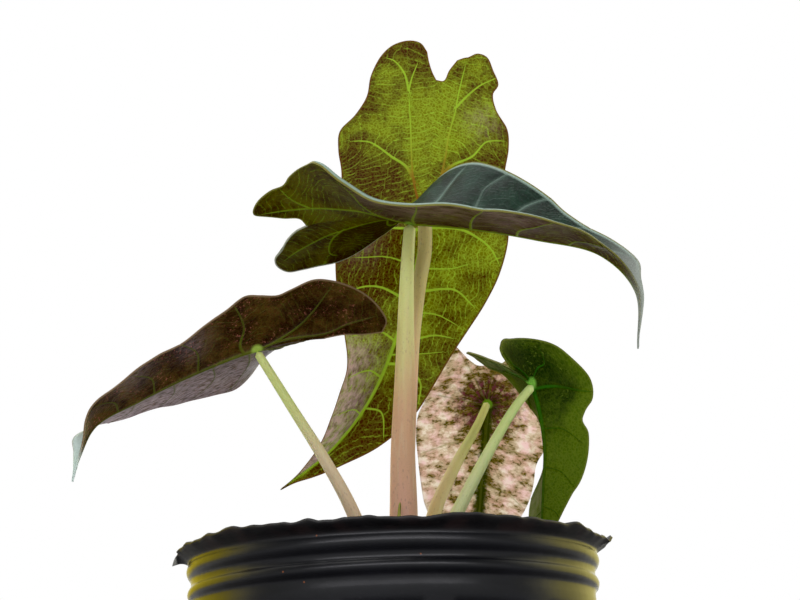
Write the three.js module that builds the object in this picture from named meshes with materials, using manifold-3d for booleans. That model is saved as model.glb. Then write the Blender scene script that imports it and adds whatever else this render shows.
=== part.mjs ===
// A potted alocasia polly: five arrow-shaped leaves on long stalks in a black nursery pot.
// Millimetres, +Z up, origin in the middle of the pot's flat base. The photographed side faces -Y.

import * as THREE from "three";
import Module from "manifold-3d";

const wasm = await Module();
wasm.setup();

// Driving dimensions

const POT_HEIGHT = 138;
const POT_BASE_RADIUS = 57;
const POT_TOP_RADIUS = 74;
const POT_BAND_HEIGHT = 114;
const POT_WALL = 1.5;
const POT_FLOOR = 2.2;
const POT_PANELS = 12;
const POT_PANEL_DEPTH = 0.9;
const POT_PANEL_SHARE = 0.72;
const POT_PANEL_TURN = -18;
const POT_SEGMENTS = 60;
const RIB_HEIGHT = 1.3;
const LIP_REACH = 4.4;
const LIP_CRINKLE = 0.9;
const LIP_SIDE_FLARE = 1;
const DRAIN_COUNT = 6;
const DRAIN_RADIUS = 5.5;
const DRAIN_CIRCLE = 42;
const DRAIN_SIDES = 16;

const SOIL_TOP = 125;
const SOIL_DOME = 2.5;
const SOIL_RELIEF = 1.3;
const SOIL_RINGS = 9;
const SOIL_SEGMENTS = 40;

const CORM_RADIUS = 16;
const CORM_TOP = 112;
const CORM_LENGTH = 40;
const CORM_SIDES = 16;
const CORM_LEVELS = 7;
const ROOT_COUNT = 6;
const ROOT_RADIUS = 1.7;
const ROOT_STEPS = 5;
const ROOT_SIDES = 5;

const BLADE_THICKNESS = 0.9;
const BLADE_ROWS = 28;
const BLADE_COLUMNS = 4;
const SINUS_ROWS = 6;
const SPINE_STEPS = 40;

const STALK_SIDES = 10;
const STALK_STEPS = 12;
const STALK_FOOT = CORM_TOP + 0.4;
const SHOOT_STEPS = 8;
const SHOOT_SIDES = 8;
const HOLE_STEPS = 6;

const GAP = 0.3;

const COLOURS = {
  pot: { color: 0x17181c, roughness: 0.35, metalness: 0 },
  soil: { color: 0x2c211a, roughness: 0.95, metalness: 0 },
  corm: { color: 0x6b4a33, roughness: 0.8, metalness: 0 },
  shoot: { color: 0xa9b23a, roughness: 0.5, metalness: 0 },
  paleStalk: { color: 0xb9c79a, roughness: 0.5, metalness: 0 },
  pinkStalk: { color: 0xb79a86, roughness: 0.5, metalness: 0 },
  backlit: { color: 0x7d8f2c, roughness: 0.55, metalness: 0 },
  dark: { color: 0x3b3424, roughness: 0.5, metalness: 0 },
  green: { color: 0x2c4a14, roughness: 0.5, metalness: 0 },
  variegated: { color: 0xd9c4b4, roughness: 0.6, metalness: 0 },
};

// Each leaf hangs on a curved spine that runs from beyond its two back lobes, through the point
// where its stalk joins, to its tip. At every spine point "facing" is the way its upper side
// looks, and "fold" is how many degrees its left and right halves are folded up from flat.
// The outline of each half is flat: across and along the midrib from the stalk's joint.

const LEAVES = [
  {
    name: "blade_back",
    look: "backlit",
    attach: 2,
    spine: [[26, 46, 364], [23.5, 43, 337], [16.5, 32, 272.5], [6.5, 27, 232], [-6.5, 23, 200],
      [-22.5, 20, 179], [-43.5, 18, 163]],
    facing: [[0, 1, 0], [0, 1, 0], [0, 1, 0], [0, 1, 0], [0, 1, 0], [0, 1, 0], [0, 1, 0]],
    fold: [[5, 5], [5, 5], [8, 8], [20, 10], [40, 12], [45, 15], [30, 20]],
    left: {
      sinus: [[0, -65], [-3, -69], [-5, -74], [-7, -79]],
      margin: [[-7, -79], [-11, -82], [-17, -81], [-22, -78], [-26, -71], [-28, -62], [-28, -56],
        [-32, -49], [-38, -41], [-38, -32], [-36, -22], [-35, -8], [-35, 8], [-33, 22], [-29, 38],
        [-22, 54], [-18, 66], [-17, 78], [-14, 90], [-9, 101], [-4, 112], [-1, 120], [0, 128]],
    },
    right: {
      sinus: [[0, -65], [3, -65], [5, -70], [8, -75]],
      margin: [[8, -75], [11, -76.5], [13, -77], [16, -79], [20, -78], [23, -72], [25.5, -66],
        [23.5, -61], [25, -54], [30, -46], [31, -37], [30, -26], [31, -12], [34, 0], [33, 14],
        [30, 26], [26, 38], [23, 48], [20, 62], [18, 74], [13, 90], [7, 104], [3, 116], [1, 122],
        [0, 128]],
    },
  },
  {
    name: "blade_top",
    look: "dark",
    attach: 3,
    spine: [[-52.5, 9, 260.5], [-30.5, 4, 264], [-10.5, -1, 264.5], [10.5, -8, 260.5], [32, -14, 256],
      [56.5, -20, 249], [80, -26, 240.5], [92, -30, 225], [91.5, -31, 204]],
    facing: [[0, 0, 1], [0, 0, 1], [0, 0, 1], [0, 0, 1], [0, 0, 1], [0, 0, 1], [0, 0, 1],
      [0.5, 0, 1], [1, 0, 0.3]],
    fold: [[-20, 22], [-18, 30], [4, 14], [44, -1], [62, 0], [59, 5], [48, 8], [58, 20], [0, 0]],
    left: {
      sinus: [[0, -42], [-2, -47], [-6, -52], [-11, -56]],
      margin: [[-11, -56], [-15, -60], [-20, -61], [-25, -58], [-26, -52], [-27, -45], [-30, -38],
        [-32, -30], [-33, -20], [-35, -8], [-36, 4], [-36, 14], [-33, 24], [-29, 34], [-25, 43],
        [-21, 51], [-16.5, 58], [-12.5, 66], [-11, 73], [-10, 80], [-8.5, 86], [-4.5, 91],
        [-2, 100], [-1.2, 110], [0, 117]],
    },
    right: {
      sinus: [[0, -42], [4, -43.5], [6, -49], [9, -54]],
      margin: [[9, -54], [13, -59], [18, -56], [21, -50], [22, -44.5], [26, -41], [30, -37],
        [35, -32], [40, -27], [40, -22], [37, -15], [34, -6], [33, 8], [34, 20], [31, 34],
        [28, 48], [24, 60], [18, 72], [12, 80], [7, 86], [4, 93], [2.5, 101], [1.2, 110], [0, 117]],
    },
  },
  {
    name: "blade_left",
    look: "dark",
    attach: 2,
    spine: [[-0.5, -2, 218], [-23, -8, 216.5], [-48, -16, 211], [-68.5, -22, 202], [-89.5, -28, 190.5],
      [-105, -33, 180.5], [-110, -35, 170], [-113, -35, 160]],
    facing: [[0, 0, 1], [0, 0, 1], [0, 0, 1], [0, 0, 1], [0, 0, 1], [-0.3, 0, 1], [-1, 0, 0.4],
      [-1, 0, 0.2]],
    fold: [[38, 36], [42, 38], [41, -10], [41, -15], [32, -9], [22, 30], [0, 80], [0, 40]],
    left: {
      sinus: [[0, -27], [-1, -34], [-1, -42], [-2, -49]],
      margin: [[-2, -49], [-7, -50], [-12, -47.5], [-17, -43], [-22, -36], [-26, -27], [-27, -20],
        [-24, -12], [-22.5, -8], [-24, -2], [-25.5, 3], [-22, 10], [-19, 18], [-16, 27],
        [-17, 38], [-17, 49], [-14, 58], [-13, 65], [-10, 70], [-4, 74], [-1.5, 80], [0, 89]],
    },
    right: {
      sinus: [[0, -27], [2, -32], [4, -38], [7, -43]],
      margin: [[7, -43], [11, -47], [16, -46], [21, -41], [25, -33], [27, -22], [28, -11],
        [28, -3], [27, 6], [25, 14], [22, 24], [18, 33], [14, 40], [12.5, 47], [13, 52],
        [12, 58], [9, 64], [8, 69], [6.5, 73], [3, 78], [1.2, 83], [0, 89]],
    },
  },
  {
    name: "blade_right",
    look: "green",
    attach: 2,
    spine: [[42, -30, 200], [46, -15, 201], [53.5, -2, 198], [57, 2, 186.5], [58, 2, 173.5],
      [56.5, 0, 158], [54.5, -3, 137]],
    facing: [[-0.5, 0.6, 0.6], [-0.5, 0.6, 0.6], [-0.2, 0.9, 0.3], [0, 1, 0], [0, 1, 0], [0, 1, 0],
      [0, 1, 0]],
    fold: [[68, 50], [70, 45], [78, 10], [92, 0], [92, 0], [76, 5], [50, 10]],
    left: {
      sinus: [[0, -17], [-2, -22], [-4, -27], [-6, -32]],
      margin: [[-6, -32], [-8, -36], [-11, -37], [-13.5, -32], [-15, -24], [-16, -12], [-18, 0],
        [-19, 12], [-19, 24], [-17, 33], [-14, 42], [-9, 52], [-4, 62], [0, 70]],
    },
    right: {
      sinus: [[0, -17], [1, -20], [2, -24], [3, -28]],
      margin: [[3, -28], [5, -30], [8, -25], [10.5, -19], [12.5, -12], [15, -5], [18.5, 0],
        [22, 5.5], [20.5, 11], [16.5, 14.5], [15, 17], [16.5, 20.5], [16.5, 24], [15.5, 30],
        [13.5, 37], [10.5, 43], [7, 51], [3, 61], [0, 70]],
    },
  },
  {
    name: "blade_small",
    look: "variegated",
    attach: 2,
    spine: [[40.5, 52, 230], [40, 50, 218.5], [39, 46, 200.5], [37, 44, 182], [34.5, 43, 162],
      [31, 43, 128]],
    facing: [[0, 1, 0], [0, 1, 0], [0, 1, 0], [0, 1, 0], [0, 1, 0], [0, 1, 0]],
    fold: [[0, 0], [0, 0], [5, 5], [8, 8], [10, 10], [10, 10]],
    left: {
      sinus: [[0, -17], [-4, -17], [-7, -19], [-10, -22]],
      margin: [[-10, -22], [-13, -25], [-18, -23], [-21, -15], [-23, -6], [-27, 5], [-27.5, 13],
        [-26, 23], [-24, 33], [-21, 43], [-14, 53], [-6, 61], [0, 66]],
    },
    right: {
      sinus: [[0, -17], [3, -17], [7, -19], [10, -22]],
      margin: [[10, -22], [13, -25], [17, -22], [19, -14], [19, -5], [21, 2], [24, 10], [24, 15],
        [21, 22], [20.5, 30], [19, 38], [16, 45], [12, 53], [6, 60], [0, 66]],
    },
  },
];

// Each stalk's route runs from the corm to the blade it carries. "across" and "deep" are its
// half-widths at the foot, at the middle and at the top.

const STALKS = [
  {
    name: "petiole_back",
    look: "pinkStalk",
    blade: "blade_back",
    route: [[2, 4.5, STALK_FOOT], [3, 5, 128], [5.5, 5.5, 150], [6.5, 7, 172], [8, 9.5, 195],
      [10, 14, 220], [13.5, 20, 243], [16, 27, 259], [16.5, 32, 272.5]],
    across: [3, 2.8, 2.4],
    deep: [3, 2.8, 2.4],
  },
  {
    name: "petiole_top",
    look: "pinkStalk",
    blade: "blade_top",
    route: [[3.5, -5.5, STALK_FOOT], [3.5, -5.5, 128], [4.5, -4, 149], [5, -4.5, 174], [6.5, -6, 200],
      [8, -8, 230], [9, -8.5, 245.5], [10.5, -8, 260.5]],
    across: [6.2, 4.4, 2.6],
    deep: [3.6, 3.4, 2.4],
  },
  {
    name: "petiole_left",
    look: "paleStalk",
    blade: "blade_left",
    route: [[-7, 2, STALK_FOOT], [-6.5, 1, 128], [-14.5, -5, 152], [-24, -8, 170.5],
      [-36, -12, 190.5], [-48, -16, 211]],
    across: [3.2, 2.3, 1.6],
    deep: [3, 2.2, 1.6],
  },
  {
    name: "petiole_right",
    look: "paleStalk",
    blade: "blade_right",
    route: [[10.5, -0.5, STALK_FOOT], [13.5, 0, 128], [23.5, 2, 149], [37.5, 1, 174], [48, -1.5, 190],
      [53.5, -2, 198]],
    across: [3.2, 2.4, 1.6],
    deep: [3, 2.3, 1.6],
  },
  {
    name: "petiole_small",
    look: "paleStalk",
    blade: "blade_small",
    route: [[8.5, 9, STALK_FOOT], [11, 10, 128], [15.5, 14, 151], [24, 26, 171], [34, 39, 190],
      [39, 46, 200.5]],
    across: [3.2, 2.5, 1.5],
    deep: [3, 2.4, 1.5],
  },
];

const SHOOT_ROUTE = [[1, -13, STALK_FOOT], [1, -13, 128], [2, -11.5, 140], [3.4, -9.8, 153.5]];
const SHOOT_RADII = [1.7, 1.2, 0.5];

// Small helpers

const radians = THREE.MathUtils.degToRad;

function vector(point) {
  return new THREE.Vector3(point[0], point[1], point[2] ?? 0);
}

function curve(points) {
  return new THREE.CatmullRomCurve3(points.map(vector), false, "centripetal");
}

// A smooth value from a short list, at a place counted in list steps
function smooth(values, place) {
  const last = values.length - 1;
  const at = THREE.MathUtils.clamp(place, 0, last);
  const i = Math.min(Math.floor(at), last - 1);
  const t = at - i;
  const before = values[Math.max(i - 1, 0)];
  const after = values[Math.min(i + 2, last)];
  const slope0 = (values[i + 1] - before) / 2;
  const slope1 = (after - values[i]) / 2;
  const t2 = t * t;
  const t3 = t2 * t;
  return (2 * t3 - 3 * t2 + 1) * values[i] + (t3 - 2 * t2 + t) * slope0
    + (3 * t2 - 2 * t3) * values[i + 1] + (t3 - t2) * slope1;
}

// A curve's points, moved to even steps of its length
function evenPoints(points, fractions) {
  const dense = curve(points).getPoints((points.length - 1) * SPINE_STEPS);
  const reach = [0];
  for (let i = 1; i < dense.length; i += 1) {
    reach.push(reach[i - 1] + dense[i].distanceTo(dense[i - 1]));
  }
  const total = reach[reach.length - 1];
  return fractions.map((fraction) => {
    const target = fraction * total;
    let i = 1;
    while (i < reach.length - 1 && reach[i] < target) {
      i += 1;
    }
    const t = (target - reach[i - 1]) / (reach[i] - reach[i - 1]);
    return dense[i - 1].clone().lerp(dense[i], THREE.MathUtils.clamp(t, 0, 1));
  });
}

function solid(points, triangles) {
  const geometry = new THREE.BufferGeometry();
  const numbers = points.flatMap((p) => [p.x, p.y, p.z]);
  geometry.setAttribute("position", new THREE.Float32BufferAttribute(numbers, 3));
  geometry.setIndex(triangles.flat());
  return geometry;
}

function toManifold(geometry) {
  return new wasm.Manifold(new wasm.Mesh({
    numProp: 3,
    vertProperties: new Float32Array(geometry.attributes.position.array),
    triVerts: new Uint32Array(geometry.index.array),
  }));
}

function toGeometry(manifold) {
  const mesh = manifold.getMesh();
  const geometry = new THREE.BufferGeometry();
  geometry.setAttribute("position", new THREE.Float32BufferAttribute(mesh.vertProperties, 3));
  geometry.setIndex(Array.from(mesh.triVerts));
  return geometry;
}

// A closed skin over rings of equal count, with a point at each end
function ringSolid(rings, start, end) {
  const count = rings[0].length;
  const points = [...rings.flat(), start, end];
  const first = rings.length * count;
  const last = first + 1;
  const triangles = [];
  for (let j = 0; j < count; j += 1) {
    const next = (j + 1) % count;
    triangles.push([first, next, j]);
    const top = (rings.length - 1) * count;
    triangles.push([last, top + j, top + next]);
    for (let i = 0; i < rings.length - 1; i += 1) {
      const a = i * count + j;
      const b = i * count + next;
      triangles.push([a, b, b + count], [a, b + count, a + count]);
    }
  }
  return solid(points, triangles);
}

// A stalk, root or shoot: rings square to a route, with half-widths across and deep
function stalkSolid(route, across, deep, extra = 0, steps = STALK_STEPS, sides = STALK_SIDES) {
  const path = curve(route);
  const rings = [];
  const middles = [];
  for (let i = 0; i <= steps; i += 1) {
    const t = i / steps;
    const middle = path.getPointAt(t);
    const along = path.getTangentAt(t);
    const side = new THREE.Vector3(1, 0, 0).addScaledVector(along, -along.x).normalize();
    const back = new THREE.Vector3().crossVectors(along, side);
    const a = smooth(across, t * (across.length - 1)) + extra;
    const b = smooth(deep, t * (deep.length - 1)) + extra;
    const ring = [];
    for (let j = 0; j < sides; j += 1) {
      const turn = (j / sides) * 2 * Math.PI;
      const point = middle.clone().addScaledVector(side, a * Math.cos(turn));
      ring.push(point.addScaledVector(back, b * Math.sin(turn)));
    }
    rings.push(ring);
    middles.push(middle);
  }
  return ringSolid(rings, middles[0], middles[steps]);
}

// Leaf blades

// The bent frame of a leaf: its spine with directions and folds at even small steps
function leafFrame(leaf) {
  const count = (leaf.spine.length - 1) * SPINE_STEPS;
  const places = curve(leaf.spine).getPoints(count);
  const frame = [];
  let length = 0;
  for (let i = 0; i <= count; i += 1) {
    const step = i / SPINE_STEPS;
    if (i > 0) {
      length += places[i].distanceTo(places[i - 1]);
    }
    const along = places[Math.min(i + 1, count)].clone().sub(places[Math.max(i - 1, 0)]).normalize();
    const up = new THREE.Vector3(
      smooth(leaf.facing.map((f) => f[0]), step),
      smooth(leaf.facing.map((f) => f[1]), step),
      smooth(leaf.facing.map((f) => f[2]), step),
    );
    up.addScaledVector(along, -up.dot(along)).normalize();
    frame.push({
      place: places[i],
      along,
      up,
      side: new THREE.Vector3().crossVectors(along, up),
      left: radians(smooth(leaf.fold.map((f) => f[0]), step)),
      right: radians(smooth(leaf.fold.map((f) => f[1]), step)),
      length,
    });
  }
  const zero = frame[leaf.attach * SPINE_STEPS].length;
  frame.forEach((f) => {
    f.length -= zero;
  });
  return frame;
}

// A flat leaf point, carried to its bent place
function bend(frame, side, x, y) {
  let i = 1;
  while (i < frame.length - 1 && frame[i].length < y) {
    i += 1;
  }
  const a = frame[i - 1];
  const b = frame[i];
  const t = (y - a.length) / (b.length - a.length);
  const inside = THREE.MathUtils.clamp(t, 0, 1);
  const place = a.place.clone().lerp(b.place, inside);
  if (t !== inside) {
    place.addScaledVector(t < 0 ? a.along : b.along, (t - inside) * (b.length - a.length));
  }
  const across = a.side.clone().lerp(b.side, inside).normalize();
  const up = a.up.clone().lerp(b.up, inside).normalize();
  const key = side < 0 ? "left" : "right";
  const fold = THREE.MathUtils.lerp(a[key], b[key], inside);
  const reach = Math.abs(x);
  place.addScaledVector(across, side * reach * Math.cos(fold));
  return place.addScaledVector(up, reach * Math.sin(fold));
}

// The blade's upper direction at a flat point of one half
function bladeUp(frame, side, x, y) {
  const step = 0.5;
  const reach = Math.max(Math.abs(x), step);
  const outward = bend(frame, side, reach + step, y).sub(bend(frame, side, reach - step, y));
  const along = bend(frame, side, reach, y + step).sub(bend(frame, side, reach, y - step));
  return outward.multiplyScalar(side).cross(along).normalize();
}

// Rows of flat points over one half, from the lobe's tip to the leaf's tip
function halfGrid(half, tip) {
  const evenSteps = (count) => Array.from({ length: count + 1 }, (_, i) => i / count);
  const outer = evenPoints(half.margin, evenSteps(BLADE_ROWS));
  const sinus = evenPoints([...half.sinus].reverse(), evenSteps(SINUS_ROWS));
  const start = half.sinus[0][1];
  return outer.map((_, i) => {
    const share = (i - SINUS_ROWS) / (BLADE_ROWS - SINUS_ROWS);
    const inner = i <= SINUS_ROWS ? sinus[i] : new THREE.Vector3(0, start + (tip - start) * share, 0);
    const row = [];
    for (let j = 0; j <= BLADE_COLUMNS; j += 1) {
      row.push(inner.clone().lerp(outer[i], j / BLADE_COLUMNS));
    }
    return row;
  });
}

// The whole blade as one thin solid, grown on all faces by "extra"
function bladeSolid(leaf, extra = 0) {
  const frame = leafFrame(leaf);
  const half = BLADE_THICKNESS / 2 + extra;
  const tip = leaf.left.margin[leaf.left.margin.length - 1][1];
  const points = [];
  const triangles = [];
  const midrib = [];
  const addPair = (place, up) => {
    points.push(place.clone().addScaledVector(up, half), place.clone().addScaledVector(up, -half));
    return points.length - 2;
  };
  [["left", -1], ["right", 1]].forEach(([key, side]) => {
    const grid = halfGrid(leaf[key], tip);
    const index = grid.map((row, i) => row.map((flat, j) => {
      if ((i === 0 || i === BLADE_ROWS) && j > 0) {
        return -1;
      }
      const shared = i >= SINUS_ROWS && j === 0;
      if (shared && midrib[i] !== undefined) {
        return midrib[i];
      }
      const place = bend(frame, side, flat.x, flat.y);
      let up = bladeUp(frame, side, flat.x, flat.y);
      if (shared) {
        const other = bladeUp(frame, -side, 0, flat.y);
        up = up.clone().add(other).divideScalar(1 + up.dot(other));
      }
      const made = addPair(place, up);
      if (shared) {
        midrib[i] = made;
      }
      return made;
    }));
    index[0].fill(index[0][0]);
    index[BLADE_ROWS].fill(index[BLADE_ROWS][0]);
    const face = (a, b, c) => {
      if (a === b || b === c || a === c) {
        return;
      }
      const upper = side > 0 ? [a, b, c] : [a, c, b];
      triangles.push(upper, [upper[0] + 1, upper[2] + 1, upper[1] + 1]);
    };
    for (let i = 0; i < BLADE_ROWS; i += 1) {
      for (let j = 0; j < BLADE_COLUMNS; j += 1) {
        face(index[i][j], index[i][j + 1], index[i + 1][j + 1]);
        face(index[i][j], index[i + 1][j + 1], index[i + 1][j]);
      }
    }
    const edge = (a, b) => {
      const [p, q] = side > 0 ? [a, b] : [b, a];
      triangles.push([p, p + 1, q + 1], [p, q + 1, q]);
    };
    for (let i = 0; i < BLADE_ROWS; i += 1) {
      edge(index[i][BLADE_COLUMNS], index[i + 1][BLADE_COLUMNS]);
      if (i < SINUS_ROWS) {
        edge(index[i + 1][0], index[i][0]);
      }
    }
  });
  return solid(points, triangles);
}

// Stalks end a small gap short of the blade that they carry
function stalkUnderBlade(stalk) {
  const blade = toManifold(bladeSolid(LEAVES.find((leaf) => leaf.name === stalk.blade), GAP));
  const whole = toManifold(stalkSolid(stalk.route, stalk.across, stalk.deep));
  const pieces = whole.subtract(blade).decompose();
  pieces.sort((a, b) => b.volume() - a.volume());
  return toGeometry(pieces[0]);
}

// Pot

// How far the crinkled lip moves at a turn round the pot, from -1 to 1
function crinkle(turn) {
  const slow = 0.45 * Math.sin(5 * turn + 0.6);
  const middling = 0.3 * Math.sin(11 * turn + 2);
  const quick = 0.25 * Math.sin(17 * turn + 4.2);
  return slow + middling + quick;
}

// 1 on a panel of the lower wall and 0 on the strips between panels
function panel(turn) {
  const share = (((turn - radians(POT_PANEL_TURN)) / (2 * Math.PI)) * POT_PANELS) % 1;
  const centred = Math.abs(((share + 1) % 1) - 0.5) * 2;
  return centred < POT_PANEL_SHARE ? 1 : 0;
}

function potSolid() {
  const taper = (POT_TOP_RADIUS - POT_BASE_RADIUS) / POT_BAND_HEIGHT;
  const wallAt = (z) => POT_BASE_RADIUS + Math.min(z, POT_BAND_HEIGHT) * taper;
  const top = POT_HEIGHT;
  const outer = [
    { r: POT_BASE_RADIUS - 2, z: 0 },
    { r: wallAt(2), z: 2 },
    { r: wallAt(7), z: 7 },
    { r: wallAt(10), z: 10, panel: 1 },
    { r: wallAt(60), z: 60, panel: 1 },
    { r: wallAt(108), z: 108, panel: 1 },
    { r: wallAt(111), z: 111 },
    { r: POT_TOP_RADIUS, z: top - 23 },
    { r: POT_TOP_RADIUS - 0.2, z: top - 19.5 },
    { r: POT_TOP_RADIUS + RIB_HEIGHT * 0.7, z: top - 17.6 },
    { r: POT_TOP_RADIUS + RIB_HEIGHT, z: top - 16.2 },
    { r: POT_TOP_RADIUS + RIB_HEIGHT * 0.7, z: top - 14.6 },
    { r: POT_TOP_RADIUS, z: top - 12.4 },
    { r: POT_TOP_RADIUS + RIB_HEIGHT * 0.8, z: top - 9.8 },
    { r: POT_TOP_RADIUS + RIB_HEIGHT * 1.2, z: top - 8 },
    { r: POT_TOP_RADIUS + RIB_HEIGHT, z: top - 6.4 },
    { r: POT_TOP_RADIUS + 0.9, z: top - 4.6, lip: 0.1 },
    { r: POT_TOP_RADIUS + LIP_REACH * 0.6, z: top - 2.6, lip: 0.5 },
    { r: POT_TOP_RADIUS + LIP_REACH, z: top - 0.6, lip: 1 },
  ];
  const inner = [
    { r: POT_TOP_RADIUS + LIP_REACH - 0.9, z: top + 0.3, lip: 1 },
    { r: POT_TOP_RADIUS + LIP_REACH * 0.35, z: top - 1.7, lip: 0.5 },
    { r: POT_TOP_RADIUS - 0.9, z: top - 4.4, lip: 0.1 },
    { r: POT_TOP_RADIUS - POT_WALL, z: top - 9 },
    { r: POT_TOP_RADIUS - POT_WALL, z: POT_BAND_HEIGHT },
    { r: wallAt(60) - POT_WALL - POT_PANEL_DEPTH, z: 60 },
    { r: wallAt(POT_FLOOR) - POT_WALL - POT_PANEL_DEPTH, z: POT_FLOOR },
  ];
  const rings = [...outer, ...inner].map((level) => {
    const ring = [];
    for (let j = 0; j < POT_SEGMENTS; j += 1) {
      const turn = (j / POT_SEGMENTS) * 2 * Math.PI;
      const lift = (level.lip ?? 0) * LIP_CRINKLE * crinkle(turn);
      const flare = (level.lip ?? 0) * LIP_SIDE_FLARE * Math.abs(Math.cos(turn)) ** 8;
      const sunk = (level.panel ?? 0) * POT_PANEL_DEPTH * panel(turn);
      const r = level.r - sunk + lift * 0.8 + flare;
      ring.push(new THREE.Vector3(r * Math.cos(turn), r * Math.sin(turn), level.z + lift));
    }
    return ring;
  });
  const shell = ringSolid(rings, new THREE.Vector3(0, 0, 0), new THREE.Vector3(0, 0, POT_FLOOR));
  let pot = toManifold(shell);
  for (let i = 0; i < DRAIN_COUNT; i += 1) {
    const turn = ((i + 0.5) / DRAIN_COUNT) * 2 * Math.PI;
    const x = DRAIN_CIRCLE * Math.cos(turn);
    const y = DRAIN_CIRCLE * Math.sin(turn);
    const drill = stalkSolid([[x, y, -3], [x, y, POT_FLOOR / 2], [x, y, POT_FLOOR + 3]],
      [DRAIN_RADIUS, DRAIN_RADIUS], [DRAIN_RADIUS, DRAIN_RADIUS], 0, 1, DRAIN_SIDES);
    pot = pot.subtract(toManifold(drill));
  }
  return toGeometry(pot);
}

// Corm with its thick roots, grown on all faces by "extra"

function cormManifold(extra) {
  const rings = [];
  for (let i = 0; i <= CORM_LEVELS; i += 1) {
    const t = i / CORM_LEVELS;
    const z = CORM_TOP - CORM_LENGTH * (1 - t) + (2 * t - 1) * extra;
    const r = CORM_RADIUS * (0.35 + 0.65 * Math.sin(Math.PI * (0.16 + 0.62 * t))) + extra;
    const ring = [];
    for (let j = 0; j < CORM_SIDES; j += 1) {
      const turn = (j / CORM_SIDES) * 2 * Math.PI;
      ring.push(new THREE.Vector3(r * Math.cos(turn), r * Math.sin(turn), z));
    }
    rings.push(ring);
  }
  const foot = rings[0][0].z;
  const crown = rings[CORM_LEVELS][0].z;
  let corm = toManifold(ringSolid(rings, new THREE.Vector3(0, 0, foot), new THREE.Vector3(0, 0, crown)));
  for (let i = 0; i < ROOT_COUNT; i += 1) {
    const turn = (i / ROOT_COUNT) * 2 * Math.PI + 0.3;
    const drop = 22 + 7 * (i % 3);
    const point = (r, z) => [r * Math.cos(turn), r * Math.sin(turn), z];
    const route = [point(6, 92), point(20, 88), point(32, 88 - drop * 0.5), point(38, 88 - drop * 1.4)];
    const thin = [ROOT_RADIUS, ROOT_RADIUS * 0.8, ROOT_RADIUS * 0.5];
    corm = corm.add(toManifold(stalkSolid(route, thin, thin, extra, ROOT_STEPS, ROOT_SIDES)));
  }
  return corm;
}

// Soil, with its rough top and the room that the corm and the stalks take up

function soilSolid() {
  const low = POT_BASE_RADIUS - POT_WALL - POT_PANEL_DEPTH - 2 * GAP;
  const high = POT_TOP_RADIUS - POT_WALL - 2 * GAP;
  const wallInside = (z) => low + ((high - low) * Math.min(z, POT_BAND_HEIGHT)) / POT_BAND_HEIGHT;
  const rough = (r, turn) => {
    const x = r * Math.cos(turn);
    const y = r * Math.sin(turn);
    const broad = Math.sin(x * 0.31 + 1.3) * Math.cos(y * 0.37);
    const fine = Math.sin(x * 0.83 - y * 0.61) * Math.cos(y * 0.9 + 0.4);
    return broad + 0.7 * fine;
  };
  const ring = (r, height) => {
    const points = [];
    for (let j = 0; j < SOIL_SEGMENTS; j += 1) {
      const turn = (j / SOIL_SEGMENTS) * 2 * Math.PI;
      points.push(new THREE.Vector3(r * Math.cos(turn), r * Math.sin(turn), height(r, turn)));
    }
    return points;
  };
  const floor = POT_FLOOR + GAP;
  const edge = wallInside(SOIL_TOP);
  const dome = (r, turn) => {
    const calm = Math.min(1, (edge - r) / 6 + 0.3);
    return SOIL_TOP + SOIL_DOME * (1 - (r / edge) ** 2) + SOIL_RELIEF * rough(r, turn) * calm;
  };
  const rings = [
    ring(wallInside(floor), () => floor),
    ring(wallInside(60), () => 60),
    ring(wallInside(POT_BAND_HEIGHT), () => POT_BAND_HEIGHT),
  ];
  for (let i = 0; i < SOIL_RINGS; i += 1) {
    rings.push(ring(edge * (1 - i / SOIL_RINGS), dome));
  }
  const peak = new THREE.Vector3(0, 0, dome(0, 0));
  let soil = toManifold(ringSolid(rings, new THREE.Vector3(0, 0, floor), peak));
  soil = soil.subtract(cormManifold(GAP));
  const shoot = { route: SHOOT_ROUTE, across: SHOOT_RADII, deep: SHOOT_RADII };
  [...STALKS, shoot].forEach(({ route, across, deep }) => {
    const [foot, ground, above] = route;
    const widths = [across[0], across[0]];
    const depths = [deep[0], deep[0]];
    const bottom = [foot[0], foot[1], CORM_TOP - 1];
    const hole = stalkSolid([bottom, ground, above], widths, depths, GAP, HOLE_STEPS);
    soil = soil.subtract(toManifold(hole));
  });
  const pieces = soil.decompose();
  pieces.sort((a, b) => b.volume() - a.volume());
  return toGeometry(pieces[0]);
}

// The plant in its pot

const plant = new THREE.Group();

function add(name, look, geometry) {
  geometry.computeVertexNormals();
  const mesh = new THREE.Mesh(geometry, new THREE.MeshStandardMaterial(COLOURS[look]));
  mesh.name = name;
  plant.add(mesh);
}

add("pot", "pot", potSolid());
add("soil", "soil", soilSolid());
add("corm", "corm", toGeometry(cormManifold(0)));
STALKS.forEach((stalk) => add(stalk.name, stalk.look, stalkUnderBlade(stalk)));
LEAVES.forEach((leaf) => add(leaf.name, leaf.look, bladeSolid(leaf)));
add("new_shoot", "shoot", stalkSolid(SHOOT_ROUTE, SHOOT_RADII, SHOOT_RADII, 0, SHOOT_STEPS, SHOOT_SIDES));

export default plant;
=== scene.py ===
"""A potted alocasia polly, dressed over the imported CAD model: fine leaf blades with their veins and
mottling, ridged stalks, rough soil and a ribbed plastic pot. Lengths are millimetres in the row
frame until a mesh is made, and metres from there on."""

import math

import bpy
import numpy as np
from mathutils import Matrix, Vector


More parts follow.
